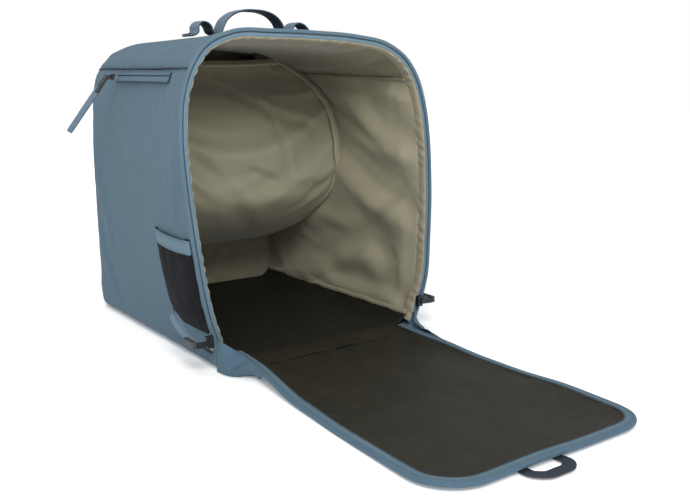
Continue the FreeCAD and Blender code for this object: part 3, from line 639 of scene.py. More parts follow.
def seam_pinch(points, inward, columns, depth, reach):
    """Pulls the cloth in beside the seams at the given columns."""
    across = arc_length(points[len(points) // 2])
    pull = np.zeros(points.shape[1])
    for column in columns:
        pull += depth * np.exp(-((across - across[column]) / reach) ** 2)
    return points + inward * pull[None, :, None]


def shell_panel(name, shares, nodes, seed, slack, columns):
    points, inward = wall(shares, WALL_DEPTHS)
    points = seam_pinch(points, inward, columns, 1.6 * MM, 5 * MM)
    piece = sheet_mesh(name, points)
    hold = edge_hold(points, 26 * MM)
    settle(piece, hold, slack, 3.5 * MM, 3 * MM, seed, wave=0.11)
    spots = coords(piece)
    way = normals_of(piece)
    pucker = ripple(points, seed + 5, 0.028, 0.8 * MM, 2).ravel()
    near_rim = np.exp(-((points[..., 1].ravel() - FRONT_Y) / (30 * MM)) ** 2)
    near_seam = np.zeros(points.shape[:2])
    across = arc_length(points[len(points) // 2])
    for column in columns:
        near_seam += np.exp(-((across - across[column]) / (22 * MM)) ** 2)[None]
    place(piece, spots + way * (pucker * np.clip(near_rim + near_seam.ravel(), 0.12, 1))[:, None])
    soften(piece)
    thicken(piece, PADDING)
    return finish_piece(piece, "shell", nodes=nodes)


def build_shell(settings):
    slack = settings.shell_slack / 100
    shell_panel("outer_side_left", LEFT_SHARES, ("side_panel_left", "side_foam_left"), 3, slack, (55,))
    shell_panel("outer_gusset_top", TOP_SHARES, ("top_gusset", "top_foam"), 8, slack * 1.5, (0, 55))
    shell_panel("outer_side_right", RIGHT_SHARES, ("side_panel_right", "side_foam_right"), 5, slack, (0,))
    # Back panel: rings that shrink from the rear corner to the middle of the back.
    ring_shares = np.concatenate([LEFT_SHARES[::2], TOP_SHARES[1::2], RIGHT_SHARES[1::2]])
    edge, _ = outline(SHOULDER_Y, ring_shares, CORNER * 0.92)
    floor_run = np.linspace(edge[-1, 0], edge[0, 0], 20)[1:]
    edge = np.vstack([edge, np.column_stack([floor_run, np.full(19, edge[0, 1])])])
    centre = np.array([0.0, 0.48 * TOP_Z])
    rows = []
    for share in np.linspace(1, 0.02, 26):
        ring = centre + (edge - centre) * share
        y = BACK_Y - 0.4 * MM - 2.2 * MM * smooth(share, 0.9, 1.0) + 1.5 * MM * (1 - share)
        rows.append(np.column_stack([ring[:, 0], np.full(len(ring), y), ring[:, 1]]))
    grid = np.array(rows)
    grid[:, -1] = grid[:, 0]
    centre = np.array([0.0, 0.48 * TOP_Z])
    back = sheet_mesh("outer_back", grid, around=True)
    pick(back)
    bpy.ops.object.mode_set(mode="EDIT")
    bpy.ops.mesh.select_all(action="SELECT")
    bpy.ops.mesh.select_all(action="DESELECT")
    bpy.ops.mesh.select_mode(type="VERT")
    bpy.ops.object.mode_set(mode="OBJECT")
    inner = np.linalg.norm(coords(back)[:, [0, 2]] - centre, axis=1) < 0.025 * TOP_Z
    back.data.vertices.foreach_set("select", inner)
    bpy.ops.object.mode_set(mode="EDIT")
    bpy.ops.mesh.merge(type="CENTER")
    bpy.ops.object.mode_set(mode="OBJECT")
    spots = coords(back)
    place(back, spots + np.array([0, 1, 0]) * ripple(spots, 12, 0.12, 1.5 * MM)[:, None])
    soften(back)
    thicken(back, PADDING)
    finish_piece(back, "shell", nodes=("back_panel", "back_foam"))
    # Base: coated cloth that closes the shell from foot to foot.
    xs = np.linspace(-1, 1, 40)
    grid = []
    for y in np.concatenate([np.linspace(FRONT_Y + 2 * MM, SHOULDER_Y, 40),
                             SHOULDER_Y + CORNER * np.sin(np.radians((15, 30, 45, 60, 72, 84)))]):
        rise = CORNER * (1 - math.sqrt(max(0.0, 1 - max(0.0, (y - SHOULDER_Y) / CORNER) ** 2)))
        line, _ = outline(y, np.array([0.0, float(LAST)]), 0.0)
        grid.append(np.column_stack([xs * (line[1, 0] + 2 * MM - 0.9 * rise), np.full(40, y),
                                     np.full(40, 0.9 * MM + rise)]))
    grid = np.array(grid)
    base = sheet_mesh("outer_base", grid, turn=True)
    place(base, coords(base) + np.array([0, 0, 1])
          * np.abs(ripple(coords(base), 21, 0.08, 0.5 * MM))[:, None])
    soften(base)
    thicken(base, PADDING)
    finish_piece(base, "base", nodes=("base_panel",))
    # Stiffener under the floor.
    bpy.ops.mesh.primitive_cube_add(size=1)
    board = bpy.context.object
    board.name = "base_stiffener"
    spots = coords(board) * (0.262, BACK_Y - FRONT_Y - 0.02, 3.6 * MM)
    place(board, spots + (0, (BACK_Y + FRONT_Y) / 2, 5.0 * MM))
    apply(board, "BEVEL", width=1 * MM, segments=2)
    finish_piece(board, "foam", nodes=("base_board",))
    # Gusset seams: a sunk welt with a row of stitches on each side.
    for seam, label in ((LEFT_SEAM, "left"), (RIGHT_SEAM, "right")):
        path, inward = wall(np.array([float(seam)]), WALL_DEPTHS[::2], inset=1.0 * MM)
        welt = sweep("seam_welt_" + label, path[:, 0], oval(1.5 * MM, 1.5 * MM, 8), -inward[:, 0])
        finish_piece(welt, "dark_tape")
        for gap, tag in ((-0.09, "a"), (0.09, "b")):
            line, inward = wall(np.array([seam + gap]), WALL_DEPTHS[:52:2], inset=-0.1 * MM)
            stitches("stitch_seam_%s_%s" % (label, tag), line[:, 0], -inward[:, 0])


# ---------------------------------------------------------------- the rim
def rim_path(inset, forward, count=180, first=0.9, last=None):
    last = LAST - 0.9 if last is None else last
    line, inward = outline(FRONT_Y, even_shares(first, last, count), inset)
    path = np.column_stack([line[:, 0], np.full(count, FRONT_Y - forward), line[:, 1]])
    waver = ripple(path, 31, 0.16, 0.9 * MM, 2)
    path[:, 1] += waver
    return path, np.column_stack([inward[:, 0], np.zeros(count), inward[:, 1]])


FORWARD = np.array([0.0, -1.0, 0.0])


def build_rim(settings):
    path, _ = rim_path(1.6 * MM, -0.5 * MM)
    piping = sweep("rim_piping_sewn", path, oval(4.6 * MM, 5.0 * MM, 12, 2.4), FORWARD)
    finish_piece(piping, "edge", nodes=("rim_piping",))
    path, _ = rim_path(4.2 * MM, -1.5 * MM)
    bed = sweep("rim_coil_bed", path, ribbon(2.0 * MM, 1.2 * MM), FORWARD)
    finish_piece(bed, "coil")
    path, inward = rim_path(4.2 * MM, -0.9 * MM, 420)
    coil = teeth("rim_zip_coil", path, FORWARD, 1.6 * MM, (1.8 * MM, 0.9 * MM, 0.9 * MM))
    finish_piece(coil, "coil", nodes=("body_zip_coil",))
    path, inward = rim_path(7.0 * MM, 0.0 * MM)
    tape = sweep("rim_zip_tape", path, ribbon(4.4 * MM, 1.3 * MM), FORWARD - 0.25 * inward)
    finish_piece(tape, "tape", nodes=("body_zip_tape",))
    stitches("stitch_rim_tape", rim_path(8.2 * MM, 0.65 * MM)[0], FORWARD)
    # Gathered facing that turns from the tape back into the bag.
    count = 620
    rows = []
    profile = spline(np.array([(8.9, 0.2), (10.0, 0.0), (11.2, -2.0), (11.8, -6.0), (11.6, -12.0),
                               (10.8, -19.0)]) * MM,
                     np.linspace(0, 5, 12))
    base_line, inward = rim_path(0, 0, count)
    run = arc_length(base_line)
    rng = np.random.default_rng(41)
    phase = np.interp(run, np.linspace(0, run[-1], 90),
                      np.cumsum(rng.uniform(0.55, 1.5, 90)) * 2 * math.pi * 0.72)
    uneven = (0.55 + 0.35 * np.sin(phase * 0.137)) * MM
    for number, (side, ahead) in enumerate(profile):
        gather = uneven * math.sin(math.pi * (number + 2) / 14) * np.sin(phase + 0.25 * number)
        rows.append(base_line + inward * (side + gather)[:, None] + FORWARD * ahead)
    facing = sheet_mesh("rim_facing_gathered", np.array(rows), turn=True)
    thicken(facing, LINING_CLOTH)
    finish_piece(facing, "binding", nodes=("rim_facing",))


# ---------------------------------------------------------------- the lining
# Long soft folds of the right wall: depth and height of points along each valley, its width, and
# how far it sinks below the ridges beside it.
RIGHT_FOLDS = (
    (((40, 350), (-11, 315), (-66, 283), (-110, 268)), 15, 6.0),
    (((75, 330), (-4, 285), (-51, 249), (-111, 214), (-190, 190)), 24, 11.0),
    (((-55, 356), (-73, 344), (-116, 308), (-151, 286), (-190, 264)), 19, 9.0),
    (((185, 36), (159, 59), (74, 84), (-11, 117), (-81, 127), (-122, 106)), 23, 11.0),
    (((0, 64), (-28, 57), (-91, 59), (-141, 58), (-190, 46)), 16, 8.0),
    (((130, 200), (70, 176), (10, 168), (-60, 172)), 19, 5.0),
)
LEFT_FOLDS = (
    (((60, 330), (-20, 270), (-120, 230)), 20, 6.0),
    (((150, 60), (40, 100), (-90, 150)), 20, 6.0),
    (((-20, 60), (-70, 66), (-120, 70)), 14, 4.0),
)


def line_gap(spots, line):
    """Distance from each flat point to a line of straight runs, and on which side of it the point is."""
    best = np.full(len(spots), 9.0)
    side = np.zeros(len(spots))
    for start, end in zip(line[:-1], line[1:]):
        way = end - start
        share = np.clip(((spots - start) @ way) / (way @ way), 0, 1)
        gap = spots - (start + share[:, None] * way)
        size = np.linalg.norm(gap, axis=1)
        nearer = size < best
        best = np.where(nearer, size, best)
        side = np.where(nearer, np.sign(way[0] * gap[:, 1] - way[1] * gap[:, 0]), side)
    return best, side


FOLD_LIFT = 6.5 * MM


def creased(spots, folds):
    """Height of soft folds at flat points: a valley along each line, with a ridge on each side of it."""
    spots = spots + np.stack([ripple(spots @ np.eye(2, 3), 201, 0.12, 5 * MM),
                              ripple(spots @ np.eye(2, 3), 202, 0.12, 5 * MM)],
                             axis=1)
    height = np.full(len(spots), FOLD_LIFT)
    for points, wide, deep in folds:
        line = even(np.array(points) * MM, 24)
        gap, side = line_gap(spots, line)
        wide = wide * MM
        above = -side * gap + 0.75 * wide
        valley = np.exp(-(above / np.where(above > 0, 1.3 * wide, 0.65 * wide)) ** 2)
        ridge = 0.55 * np.exp(-((above + 1.5 * wide) / (0.7 * wide)) ** 2)
        brow = 0.35 * np.exp(-((above - 2.5 * wide) / wide) ** 2)
        reach = np.linalg.norm(spots - line[len(line) // 2], axis=1)
        fade = 1 - smooth(reach, 0.45 * arc_length(line)[-1], 0.45 * arc_length(line)[-1] + 2.2 * wide)
        height += deep * MM * (ridge + brow - valley) * fade
    return np.clip(height, -1.2 * MM, 17 * MM)


def lining_panel(name, shares, nodes, seed, slack, material, cap, wave=0.09, creases=None):
    depths = np.concatenate([np.linspace(FRONT_Y + 12 * MM, SHOULDER_Y, 46),
                             SHOULDER_Y + CORNER * np.sin(np.radians((15, 30, 45, 60))) * 0.7])
    points, _ = wall(shares, depths, inset=LINING_INSET)
    piece = sheet_mesh(name, points, turn=True)
    settle(piece, edge_hold(points, 14 * MM)[:, ::-1], slack, 1.2 * MM, cap, seed, frames=24, wave=wave,
           gravity=0.4)
    if creases:
        hold = edge_hold(points, 22 * MM)[:, ::-1].ravel()
        spots = coords(piece)
        place(piece, spots + normals_of(piece) * (creased(spots[:, 1:], creases) * (1 - hold))[:, None])
    soften(piece)
    thicken(piece, LINING_CLOTH)
    return finish_piece(piece, material, nodes=nodes)


# Creases of the divider: width and height of points along each, its width and its depth, in millimetres.
DIVIDER_FOLDS = (
    (((-20, 335), (50, 290), (115, 270)), 7, 2.6),
    (((0, 210), (60, 185), (120, 175)), 8, 3.0),
    (((-90, 240), (-20, 165), (20, 120)), 9, 2.8),
    (((30, 330), (60, 245), (70, 190)), 6, 2.0))
DIVIDER_SIDE = np.array([(0.095, 0.371), (0.072, 0.357), (0.049, 0.342), (0.022, 0.324), (0.001, 0.300),
                         (-0.014, 0.251), (-0.017, 0.213), (-0.004, 0.181), (0.023, 0.155), (0.057, 0.132),
                         (0.111, 0.108), (0.176, 0.080)])


def build_lining(settings):
    slack = settings.lining_slack / 100
    inner = even_shares(0.8, LEFT_SEAM, 56)
    lining_panel("lining_left", inner, ("side_lining_left",), 51, slack, "lining", 4 * MM, creases=LEFT_FOLDS)
    # The ceiling panel takes the satin darkened with painted shade.
    lining_panel("lining_ceiling", TOP_SHARES, ("ceiling_lining",), 57, slack * 0.6, "ceiling", 7 * MM)
    lining_panel("lining_right", even_shares(RIGHT_SEAM, LAST - 0.8, 56), ("side_lining_right",), 53, slack,
                 "lining",
                 3.5 * MM, creases=RIGHT_FOLDS)
    # Bound seams between the ceiling and the walls.
    for seam, label in ((LEFT_SEAM, "left"), (RIGHT_SEAM, "right")):
        path, inward = wall(np.array([float(seam)]), np.linspace(FRONT_Y + 14 * MM, SHOULDER_Y, 50),
                            LINING_INSET + 1.5 * MM)
        path = path[:, 0] + inward[:, 0] * ripple(path[:, 0], 58, 0.03, 0.9 * MM, 2)[:, None]
        rib = sweep("lining_seam_tape_" + label, even(path, 120), oval(6 * MM, 3.6 * MM, 10, 2.4),
                    inward[0, 0])
        # The seam tapes take the same satin darkened with painted shade.
        finish_piece(rib, "ceiling")
    # Back lining: one flat sheet across the back, with slack.
    xs = np.linspace(-1, 1, 50)
    zs = np.linspace(3 * MM, TOP_Z - 14 * MM, 56)
    grid = np.array([[(x * abs(wall_spot(SHOULDER_Y, z, 1, LINING_INSET + 2 * MM)[0][0]), BACK_Y - 12 * MM,
                       z) for x in xs]
                     for z in zs])
    back = sheet_mesh("lining_back", grid)
    settle(back, edge_hold(grid, 14 * MM), slack, 2 * MM, 8 * MM, 61, gravity=0.4)
    soften(back)
    thicken(back, LINING_CLOTH)
    finish_piece(back, "lining", nodes=("back_lining",))
    # Floor: tarpaulin that turns up a little at the walls.
    ys = np.linspace(FRONT_Y + 6 * MM, BACK_Y - 6 * MM, 52)
    xs = np.linspace(-1, 1, 60)
    grid = []
    for y in ys:
        half = abs(wall_spot(y, 22 * MM, 1, LINING_INSET + 1.2 * MM)[0][0])
        grid.append([(x * half, y, 8.2 * MM + 13 * MM * smooth(abs(x), 0.86, 1.0) ** 1.5) for x in xs])
    grid = np.array(grid)
    floor = sheet_mesh("lining_floor", grid)
    settle(floor, edge_hold(grid, 20 * MM), 0.006, 0.8 * MM, 2.5 * MM, 64, wave=0.06)
    soften(floor)
    thicken(floor, FLOOR_SHEET)
    # The floor takes the tarpaulin darkened with painted shade.
    finish_piece(floor, "floor", nodes=("floor_tarpaulin",))
    for column, label in ((0, "left"), (-1, "right")):
        inwards = 4 * MM if column == 0 else -4 * MM
        path = grid[:, column] + (inwards, 0, 1.2 * MM)
        path = path + np.array([0, 0, 1]) * ripple(path, 66, 0.03, 0.9 * MM, 2)[:, None]
        seam = sweep("floor_seam_tape_" + label, even(path, 120), oval(3.6 * MM, 7.0 * MM, 10, 2.6),
                     (0, 0, 1))
        finish_piece(seam, "binding", nodes=("floor_seam_" + label,))


def build_divider(settings):
    side = even(DIVIDER_SIDE, 60)
    xs = np.linspace(-1, 1, 56)
    inset = LINING_INSET + 1.5 * MM
    grid = []
    for y, z in side:
        depth = min(y, SHOULDER_Y)
        left = wall_spot(depth, z, -1, inset)[0][0]
        right = wall_spot(depth, z, 1, inset)[0][0]
        sag = 5 * MM * (1 - xs ** 2) * smooth(z, 0.30, 0.37)
        grid.append(np.column_stack([left + (right - left) * (xs + 1) / 2, np.full(len(xs), y), z - sag]))
    grid = np.array(grid)
    sheet = sheet_mesh("divider_sheet", grid, turn=True)
    settle(sheet, edge_hold(grid, 12 * MM)[:, ::-1], settings.divider_slack / 100, 12 * MM, 14 * MM, 71,
           frames=26, gravity=0.6,
           wave=0.08)
    spots = coords(sheet)
    hold = edge_hold(grid, 26 * MM)[:, ::-1].ravel()
    place(sheet, spots + normals_of(sheet)
          * ((creased(spots[:, ::2], DIVIDER_FOLDS) - FOLD_LIFT) * (1 - hold))[:, None])
    soften(sheet)
    thicken(sheet, FACE_CLOTH)
    finish_piece(sheet, "lining", nodes=("divider_panel",))
    lean = np.array([0.0, -0.54, 0.84])
    band_path = grid[0] + np.array([0, -0.84, -0.54]) * 6 * MM + lean * 0.4 * MM
    band = sweep("divider_hem_band", even(band_path, 90), ribbon(16 * MM, 3.4 * MM), lean)
    finish_piece(band, "binding", nodes=("divider_hem",))
    stitches("stitch_divider_hem",
             even(band_path + np.array([0, -0.84, -0.54]) * 6 * MM + lean * 1.7 * MM, 90), lean)
    bpy.context.object.data.materials[0] = MATERIALS["beige_thread"]
    for column, label in ((0, "left"), (-1, "right")):
        path = even(grid[:, column] * (1 - 15 * MM / HALF_X, 1, 1) - (0, 2 * MM, 0), 120)
        path[:, 0] += ripple(path, 75, 0.04, 1.4 * MM, 2)
        tangent = np.gradient(path, axis=0)
        up = np.cross(tangent, (1.0, 0, 0)) * (1 if tangent[60, 2] < 0 else -1)
        tape = sweep("divider_side_tape_" + label, path, ribbon(10 * MM, 4.4 * MM), up)
        finish_piece(tape, "binding")
    # Mesh insert between the hem and the ceiling at the right.
    y = grid[0, 0, 1]
    xs = np.linspace(0.075, grid[0, -1, 0] - 1 * MM, 26)
    low_z = np.interp(xs, grid[0, :, 0], grid[0, :, 2])
    roof, _ = outline(y, even_shares(11, 18, 200), LINING_INSET + 1 * MM)
    high_z = np.interp(xs, roof[:, 0], roof[:, 1])
    high_z = np.maximum(high_z, low_z + 0.5 * MM)
    rows = [np.column_stack([xs, np.full(len(xs), y) + 3 * MM * math.sin(math.pi * t),
                             low_z * (1 - t) + high_z * t])
            for t in np.linspace(0, 1, 8)]
    mesh = sheet_mesh("divider_mesh_insert", np.array(rows))
    thicken(mesh, MESH_NET)
    finish_piece(mesh, "mesh", nodes=("divider_mesh",))


# ---------------------------------------------------------------- the front panel, laid down as a mat
MAT_LEFT = np.array([(0.0, 0.1315), (0.09, 0.1318), (0.34, 0.1370), (0.69, 0.1452), (0.84, 0.1480),
                     (1.0, 0.1485)])
MAT_RIGHT = np.array([(0.0, 0.1335), (0.3, 0.1360), (0.7, 0.1410), (0.85, 0.1415), (1.0, 0.1410)])
MAT_LONG = HINGE_Y - FREE_Y
MAT_CORNER = 0.050


def mat_half(v, side, inset):
    """Half width of the mat at share v of its length, rounded at the free corners."""
    table = MAT_LEFT if side < 0 else MAT_RIGHT
    half = np.interp(v, table[:, 0], table[:, 1]) - inset
    corner = MAT_CORNER - inset
    gap = np.clip((1 - v) * MAT_LONG - inset, 0, corner)
    return half - (corner - np.sqrt(np.maximum(corner ** 2 - (corner - gap) ** 2, 0)))


def mat_rise(x, v):
    """Height of the mat's upper face: low waves, a lifted free edge and a step down from the sill."""
    spots = np.stack([x, -v * MAT_LONG, np.zeros_like(x)], axis=-1)
    waves = ripple(spots, 83, 0.16, 1.1 * MM, 2)
    corner = 15 * MM * smooth(-x, 0.088, 0.131) + 5 * MM * smooth(x, 0.095, 0.133)
    corner *= 1 - smooth(v, 0.10, 0.40)
    return 6.0 * MM + corner + waves * smooth(v, 0.03, 0.2) + 2.6 * MM * smooth(v, 0.88,
            1.0) + 1.5 * MM * (1 - smooth(v, 0, 0.12))


def mat_border(inset, count):
    """Line round the mat's three free sides at this inset, from the left of the hinge to its right."""
    vs = 1 - (np.linspace(1, 0, 90) ** 1.6)
    end = 1 - inset / MAT_LONG
    vs = vs * end
    left = np.column_stack([-mat_half(vs, -1, inset), HINGE_Y - vs * MAT_LONG])
    right = np.column_stack([mat_half(vs, 1, inset), HINGE_Y - vs * MAT_LONG])[::-1]
    front = np.column_stack([np.linspace(left[-1, 0], right[0, 0], 12)[1:-1], np.full(10, left[-1, 1])])
    line = np.vstack([left, front, right])
    run = arc_length(line)
    wanted = np.linspace(0, run[-1], count)
    line = np.stack([np.interp(wanted, run, line[:, k]) for k in range(2)], axis=1)
    v = (HINGE_Y - line[:, 1]) / MAT_LONG
    return np.column_stack([line, mat_rise(line[:, 0], v)])


def mat_sheet(name, inset, drop, rows=84, columns=64, start=0.0, turn=False):
    vs = start + (1 - inset / MAT_LONG - start) * (1 - np.linspace(1, 0, rows) ** 1.25)
    us = np.linspace(-1, 1, columns)
    grid = []
    for v in vs:
        left = mat_half(v, -1, inset)
        right = mat_half(v, 1, inset)
        x = -left + (left + right) * (us + 1) / 2
        grid.append(np.column_stack([x, np.full(columns, HINGE_Y - v * MAT_LONG),
                                     mat_rise(x, np.full(columns, v)) - drop]))
    grid = np.array(grid)
    return grid, sheet_mesh(name, grid, turn=not turn)


def build_mat(settings):
    grid, top = mat_sheet("mat_tarpaulin_top", 10 * MM, 0.2 * MM)
    way = normals_of(top)
    hold = edge_hold(grid, 14 * MM)[:, ::-1]
    settle(top, hold, settings.mat_slack / 100, 1.2 * MM, 2.6 * MM, 91, wave=0.05, gravity=0.1)
    spots = coords(top)
    reach = edge_hold(grid, 34 * MM)[:, ::-1].ravel()
    pucker = ripple(spots, 93, 0.022, 1.0 * MM, 2) * np.clip(reach * 1.6, 0,
                                                             1) * (1 - np.clip(reach, 0, 1) ** 6)
    creases = ripple(spots, 94, 0.06, 0.5 * MM, 3)
    place(top, spots + way * np.maximum(pucker + creases, -0.6 * MM)[:, None])
    soften(top)
    thicken(top, MAT_SHEET)
    finish_piece(top, "tarpaulin", "flap", ("flap_tarpaulin", "flap_foam"))
    _, under = mat_sheet("mat_outer_cloth", 2 * MM, 4.6 * MM, 60, 48, turn=True)
    soften(under)
    thicken(under, FACE_CLOTH)
    finish_piece(under, "shell", "flap", ("flap_outer",))
    up = np.array([0.0, 0.0, 1.0])
    line = mat_border(2.2 * MM, 320)
    roll = sweep("mat_edge_piping", line - (0, 0, 2.2 * MM), oval(5.2 * MM, 5.0 * MM, 12, 2.3), up)
    finish_piece(roll, "shell", "flap", ("flap_binding",))
    line = mat_border(7.6 * MM, 320)
    band = sweep("mat_edge_tape", line - (0, 0, 0.4 * MM), ribbon(7.4 * MM, 2.4 * MM), up)
    finish_piece(band, "edge", "flap", ("flap_zip_tape",))
    line = mat_border(11.4 * MM, 700)
    bed = sweep("mat_coil_bed", line - (0, 0, 0.1 * MM), ribbon(2.6 * MM, 1.4 * MM), up)
    finish_piece(bed, "coil", "flap")
    coil = teeth("mat_zip_coil", line + (0, 0, 0.7 * MM), up, 1.6 * MM, (2.3 * MM, 0.9 * MM, 0.9 * MM))
    finish_piece(coil, "coil", "flap", ("flap_zip_coil",))
    for inset, tag in ((5.2, "outer"), (9.8, "inner")):
        line = mat_border(inset * MM, 320)
        row = stitches("stitch_mat_" + tag, line + (0, 0, 0.75 * MM), up)
        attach(row, "flap")
    # Grab loop under the free edge.
    box_low, box_high = low("grab_loop"), high("grab_loop")
    left = box_low[0] + 7 * MM
    right = box_high[0] - 7 * MM
    reach = box_low[1] + 7 * MM
    route = np.array([(left, FREE_Y + 30 * MM), (left, FREE_Y + 8 * MM), (left + 0.5 * MM, reach + 8 * MM),
                      (left + 9 * MM, reach), ((left + right) / 2, reach - 1 * MM), (right - 9 * MM, reach),
                      (right - 0.5 * MM, reach + 8 * MM), (right, FREE_Y + 8 * MM),
                      (right, FREE_Y + 30 * MM)])
    path = even(route, 70)
    path = np.column_stack([path, np.full(len(path), 1.6 * MM)])
    path[:, 2] += 1.4 * MM * smooth(-path[:, 1], -(FREE_Y + 4 * MM), -reach)
    loop = sweep("mat_grab_loop", path, ribbon(13 * MM, 1.8 * MM), up)
    finish_piece(loop, "webbing_dark", "flap", ("grab_loop",))


CORNER_FOOT = ((-150.5, -3), (-150.5, 3), (-149.5, 12), (-145, 23), (-132, 29), (-122, 36), (-124, 52))
CORNER_RIM = ((-150.0, -3, 39), (-148.0, 3, 37), (-143.5, 9, 33), (-136.5, 17, 27.5), (-132.5, 34, 23),
              (-132.5, 54, 20), (-133.5, 78, 14.5))


def corner_gusset(side, label):
    """Slack outer cloth that joins the side panel's lower front corner to the edge of the mat."""
    drop = 1.0 if side < 0 else 0.62
    foot = np.array([(-side * x, HINGE_Y / MM - run, 0.9) for x, run in CORNER_FOOT]) * MM
    rim = np.array([(-side * x, HINGE_Y / MM - run, 1.5 + z * drop) for x, run, z in CORNER_RIM]) * MM
    foot = even(foot, 44)
    rim = even(rim, 44)
    rows = []
    for share in np.linspace(0, 1, 22):
        line = foot * (1 - share) + rim * share
        run = np.linspace(0, 1, 44)
        bulge = math.sin(math.pi * share) ** 0.7 * np.sin(math.pi * np.clip(run * 1.05, 0, 1)) ** 0.8
        crease = np.exp(-((run - 0.36 - 0.22 * share)
                          / 0.05) ** 2) - 0.6 * np.exp(-((run - 0.5 - 0.15 * share) / 0.07) ** 2)
        out = np.column_stack([np.full(44, side * 1.0), np.full(44, -0.55), np.full(44, 0.05)])
        rows.append(line + out * (bulge * (7 - 3.5 * crease) * MM)[:, None])
    grid = np.array(rows)
    piece = sheet_mesh("corner_gusset_" + label, grid, turn=side < 0)
    place(piece, coords(piece) + normals_of(piece) * ripple(coords(piece), 133, 0.025, 0.6 * MM, 2)[:, None])
    soften(piece)
    thicken(piece, FACE_CLOTH)
    finish_piece(piece, "shell", None)
    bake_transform(piece)


def build_hinge(settings):
    """Cloth that crosses the hinge line: tarpaulin above, outer cloth below, and a gusset at each corner."""
    us = np.linspace(-1, 1, 56)
    for name, material, slot, half, rows, turn in (
            ("hinge_tarpaulin", "tarpaulin", "tarpaulin", 0.124,
             ((16, 8.9), (8, 9.3), (1, 9.3), (-5, 8.6), (-12, 7.4), (-20, 6.9)), True),
            ("hinge_outer_cloth", "shell", "shell_polyester", 0.129,
             ((12, 1.4), (5, 1.3), (-2, 1.2), (-9, 1.2), (-16, 1.3)), False)):
        line = even(np.array(rows) * MM, 14)
        grid = np.array([np.column_stack([us * half, np.full(56, HINGE_Y + a), np.full(56, b)]) for a,
                         b in line])
        grid[..., 2] += ripple(grid, 97, 0.03, 0.35 * MM, 2)
        piece = sheet_mesh(name, grid, turn=turn)
        thicken(piece, 0.7 * MM)
        finish_piece(piece, material, None)
        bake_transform(piece)
    corner_gusset(-1, "left")
    corner_gusset(1, "right")


# ---------------------------------------------------------------- pockets on the left side
def left_grid(ys, zs, stand):
    """Grid on the left wall: rows run up, columns run forward, each point stand off the wall."""
    grid = np.zeros((len(zs), len(ys), 3))
    for column, y in enumerate(ys):
        for row, z in enumerate(zs):
            spot, inward = wall_spot(y, z, -1, 0.0)
            grid[row, column] = spot - inward * stand[row, column]
    return grid


def build_stash(settings):
    rear = high("stash_pocket")[1]
    front = low("stash_pocket")[1] + 2 * MM
    foot = low("stash_pocket")[2] - 5 * MM
    mouth = high("stash_hem")[2]
    ys = np.linspace(rear, front, 40)
    zs = np.linspace(foot, mouth - 15 * MM, 34)
    us = np.linspace(0, 1, len(ys))
    vs = np.linspace(0, 1, len(zs))
    puff = np.sin(math.pi * us)[None] ** 0.5 * (0.25 + 0.75
                                                * np.sin(math.pi * 0.5 * np.minimum(vs * 1.25, 1)))[:, None]
    grid = left_grid(ys, zs, 1.2 * MM + 4.6 * MM * puff)
    # The rear edge leans forward going down, and the lower rear corner is rounded.
    lean = (13 * MM * (1 - vs))[:, None] * (1 - us)[None]
    round_off = smooth(0.2 - us, 0, 0.2)[None] * smooth(0.2 - vs, 0, 0.2)[:, None]
    grid[..., 1] -= lean + 4 * MM * round_off
    grid[..., 2] += 4 * MM * round_off
    pouch = sheet_mesh("stash_pouch", grid)
    settle(pouch, edge_hold(grid, 8 * MM), 0.012, 1.5 * MM, 3.0 * MM, 103, wave=0.05)
    soften(pouch)
    thicken(pouch, KNIT)
    finish_piece(pouch, "knit", nodes=("stash_pocket",))
    zs = np.linspace(mouth - 17 * MM, mouth, 10)
    dip = 1.2 * MM * np.sin(math.pi * us)
    puff = np.sin(math.pi * us)[None] ** 0.5 * np.ones(len(zs))[:, None]
    grid = left_grid(ys, zs, 1.6 * MM + 5.0 * MM * puff)
    grid[..., 2] -= dip[None]
    hem = sheet_mesh("stash_hem_band", grid)
    soften(hem)
    thicken(hem, 1.4 * MM)
    finish_piece(hem, "tape", nodes=("stash_hem",))
    for row, tag in ((1, "low"), (-2, "high")):
        path = grid[row] + np.array([-1, 0, 0]) * 0.2 * MM
        stitches("stitch_stash_" + tag, path, (-1, 0, 0))
    # Painted shadow inside the mouth: a black knit sheet just off the wall, where only the wall's shade would
    # show.
    grid = left_grid(ys, np.linspace(mouth - 12 * MM, mouth + 1.5 * MM, 6), np.full((6, len(ys)), 0.7 * MM))
    grid[..., 2] -= dip[None]
    back = sheet_mesh("stash_mouth_shadow_sheet", grid)
    thicken(back, 0.4 * MM)
    finish_piece(back, "knit")


def build_side_zip(settings):
    tape_low, tape_high = low("side_zip_coil"), high("side_zip_coil")
    middle = (tape_low[2] + tape_high[2]) / 2
    ys = np.linspace(high("side_zip_tape")[1], low("side_zip_tape")[1], 90)
    tape = left_grid(ys, middle + np.linspace(-6, 6, 8) * MM, np.full((8, 90), 0.5 * MM))
    piece = sheet_mesh("side_zip_tape_sewn", tape)
    thicken(piece, 0.8 * MM)
    finish_piece(piece, "dark_tape", nodes=("side_zip_tape", "side_pocket_bag"))
    coil_ys = np.linspace(tape_high[1], tape_low[1], 300)
    line = left_grid(coil_ys, np.array([middle]), np.full((1, 300), 1.0 * MM))[0]
    coil = teeth("side_zip_coil_turns", line, (-1, 0, 0), 1.6 * MM, (2.6 * MM, 0.9 * MM, 0.9 * MM))
    finish_piece(coil, "coil", nodes=("side_zip_coil",))
    # Folded welts of the window: a narrow one above the coil and a broad one that covers it from below.
    for gap, wide, tag in ((4.3, 4.4, "high"), (-1.9, 6.8, "low")):
        line = left_grid(ys, np.array([middle + gap * MM]), np.full((1, 90), 1.5 * MM))[0]
        way = np.array([-math.cos(0.42), 0, math.sin(0.42)])
        lip = sweep("side_zip_welt_" + tag, line, ribbon(wide * MM, 1.5 * MM), way)
        finish_piece(lip, "shell")
    for gap, tag in ((5.6, "high"), (-4.6, "low")):
        line = left_grid(ys, np.array([middle + gap * MM]), np.full((1, 90), 2.2 * MM))[0]
        stitches("stitch_side_zip_" + tag, line, (-0.9, 0, 0.4))


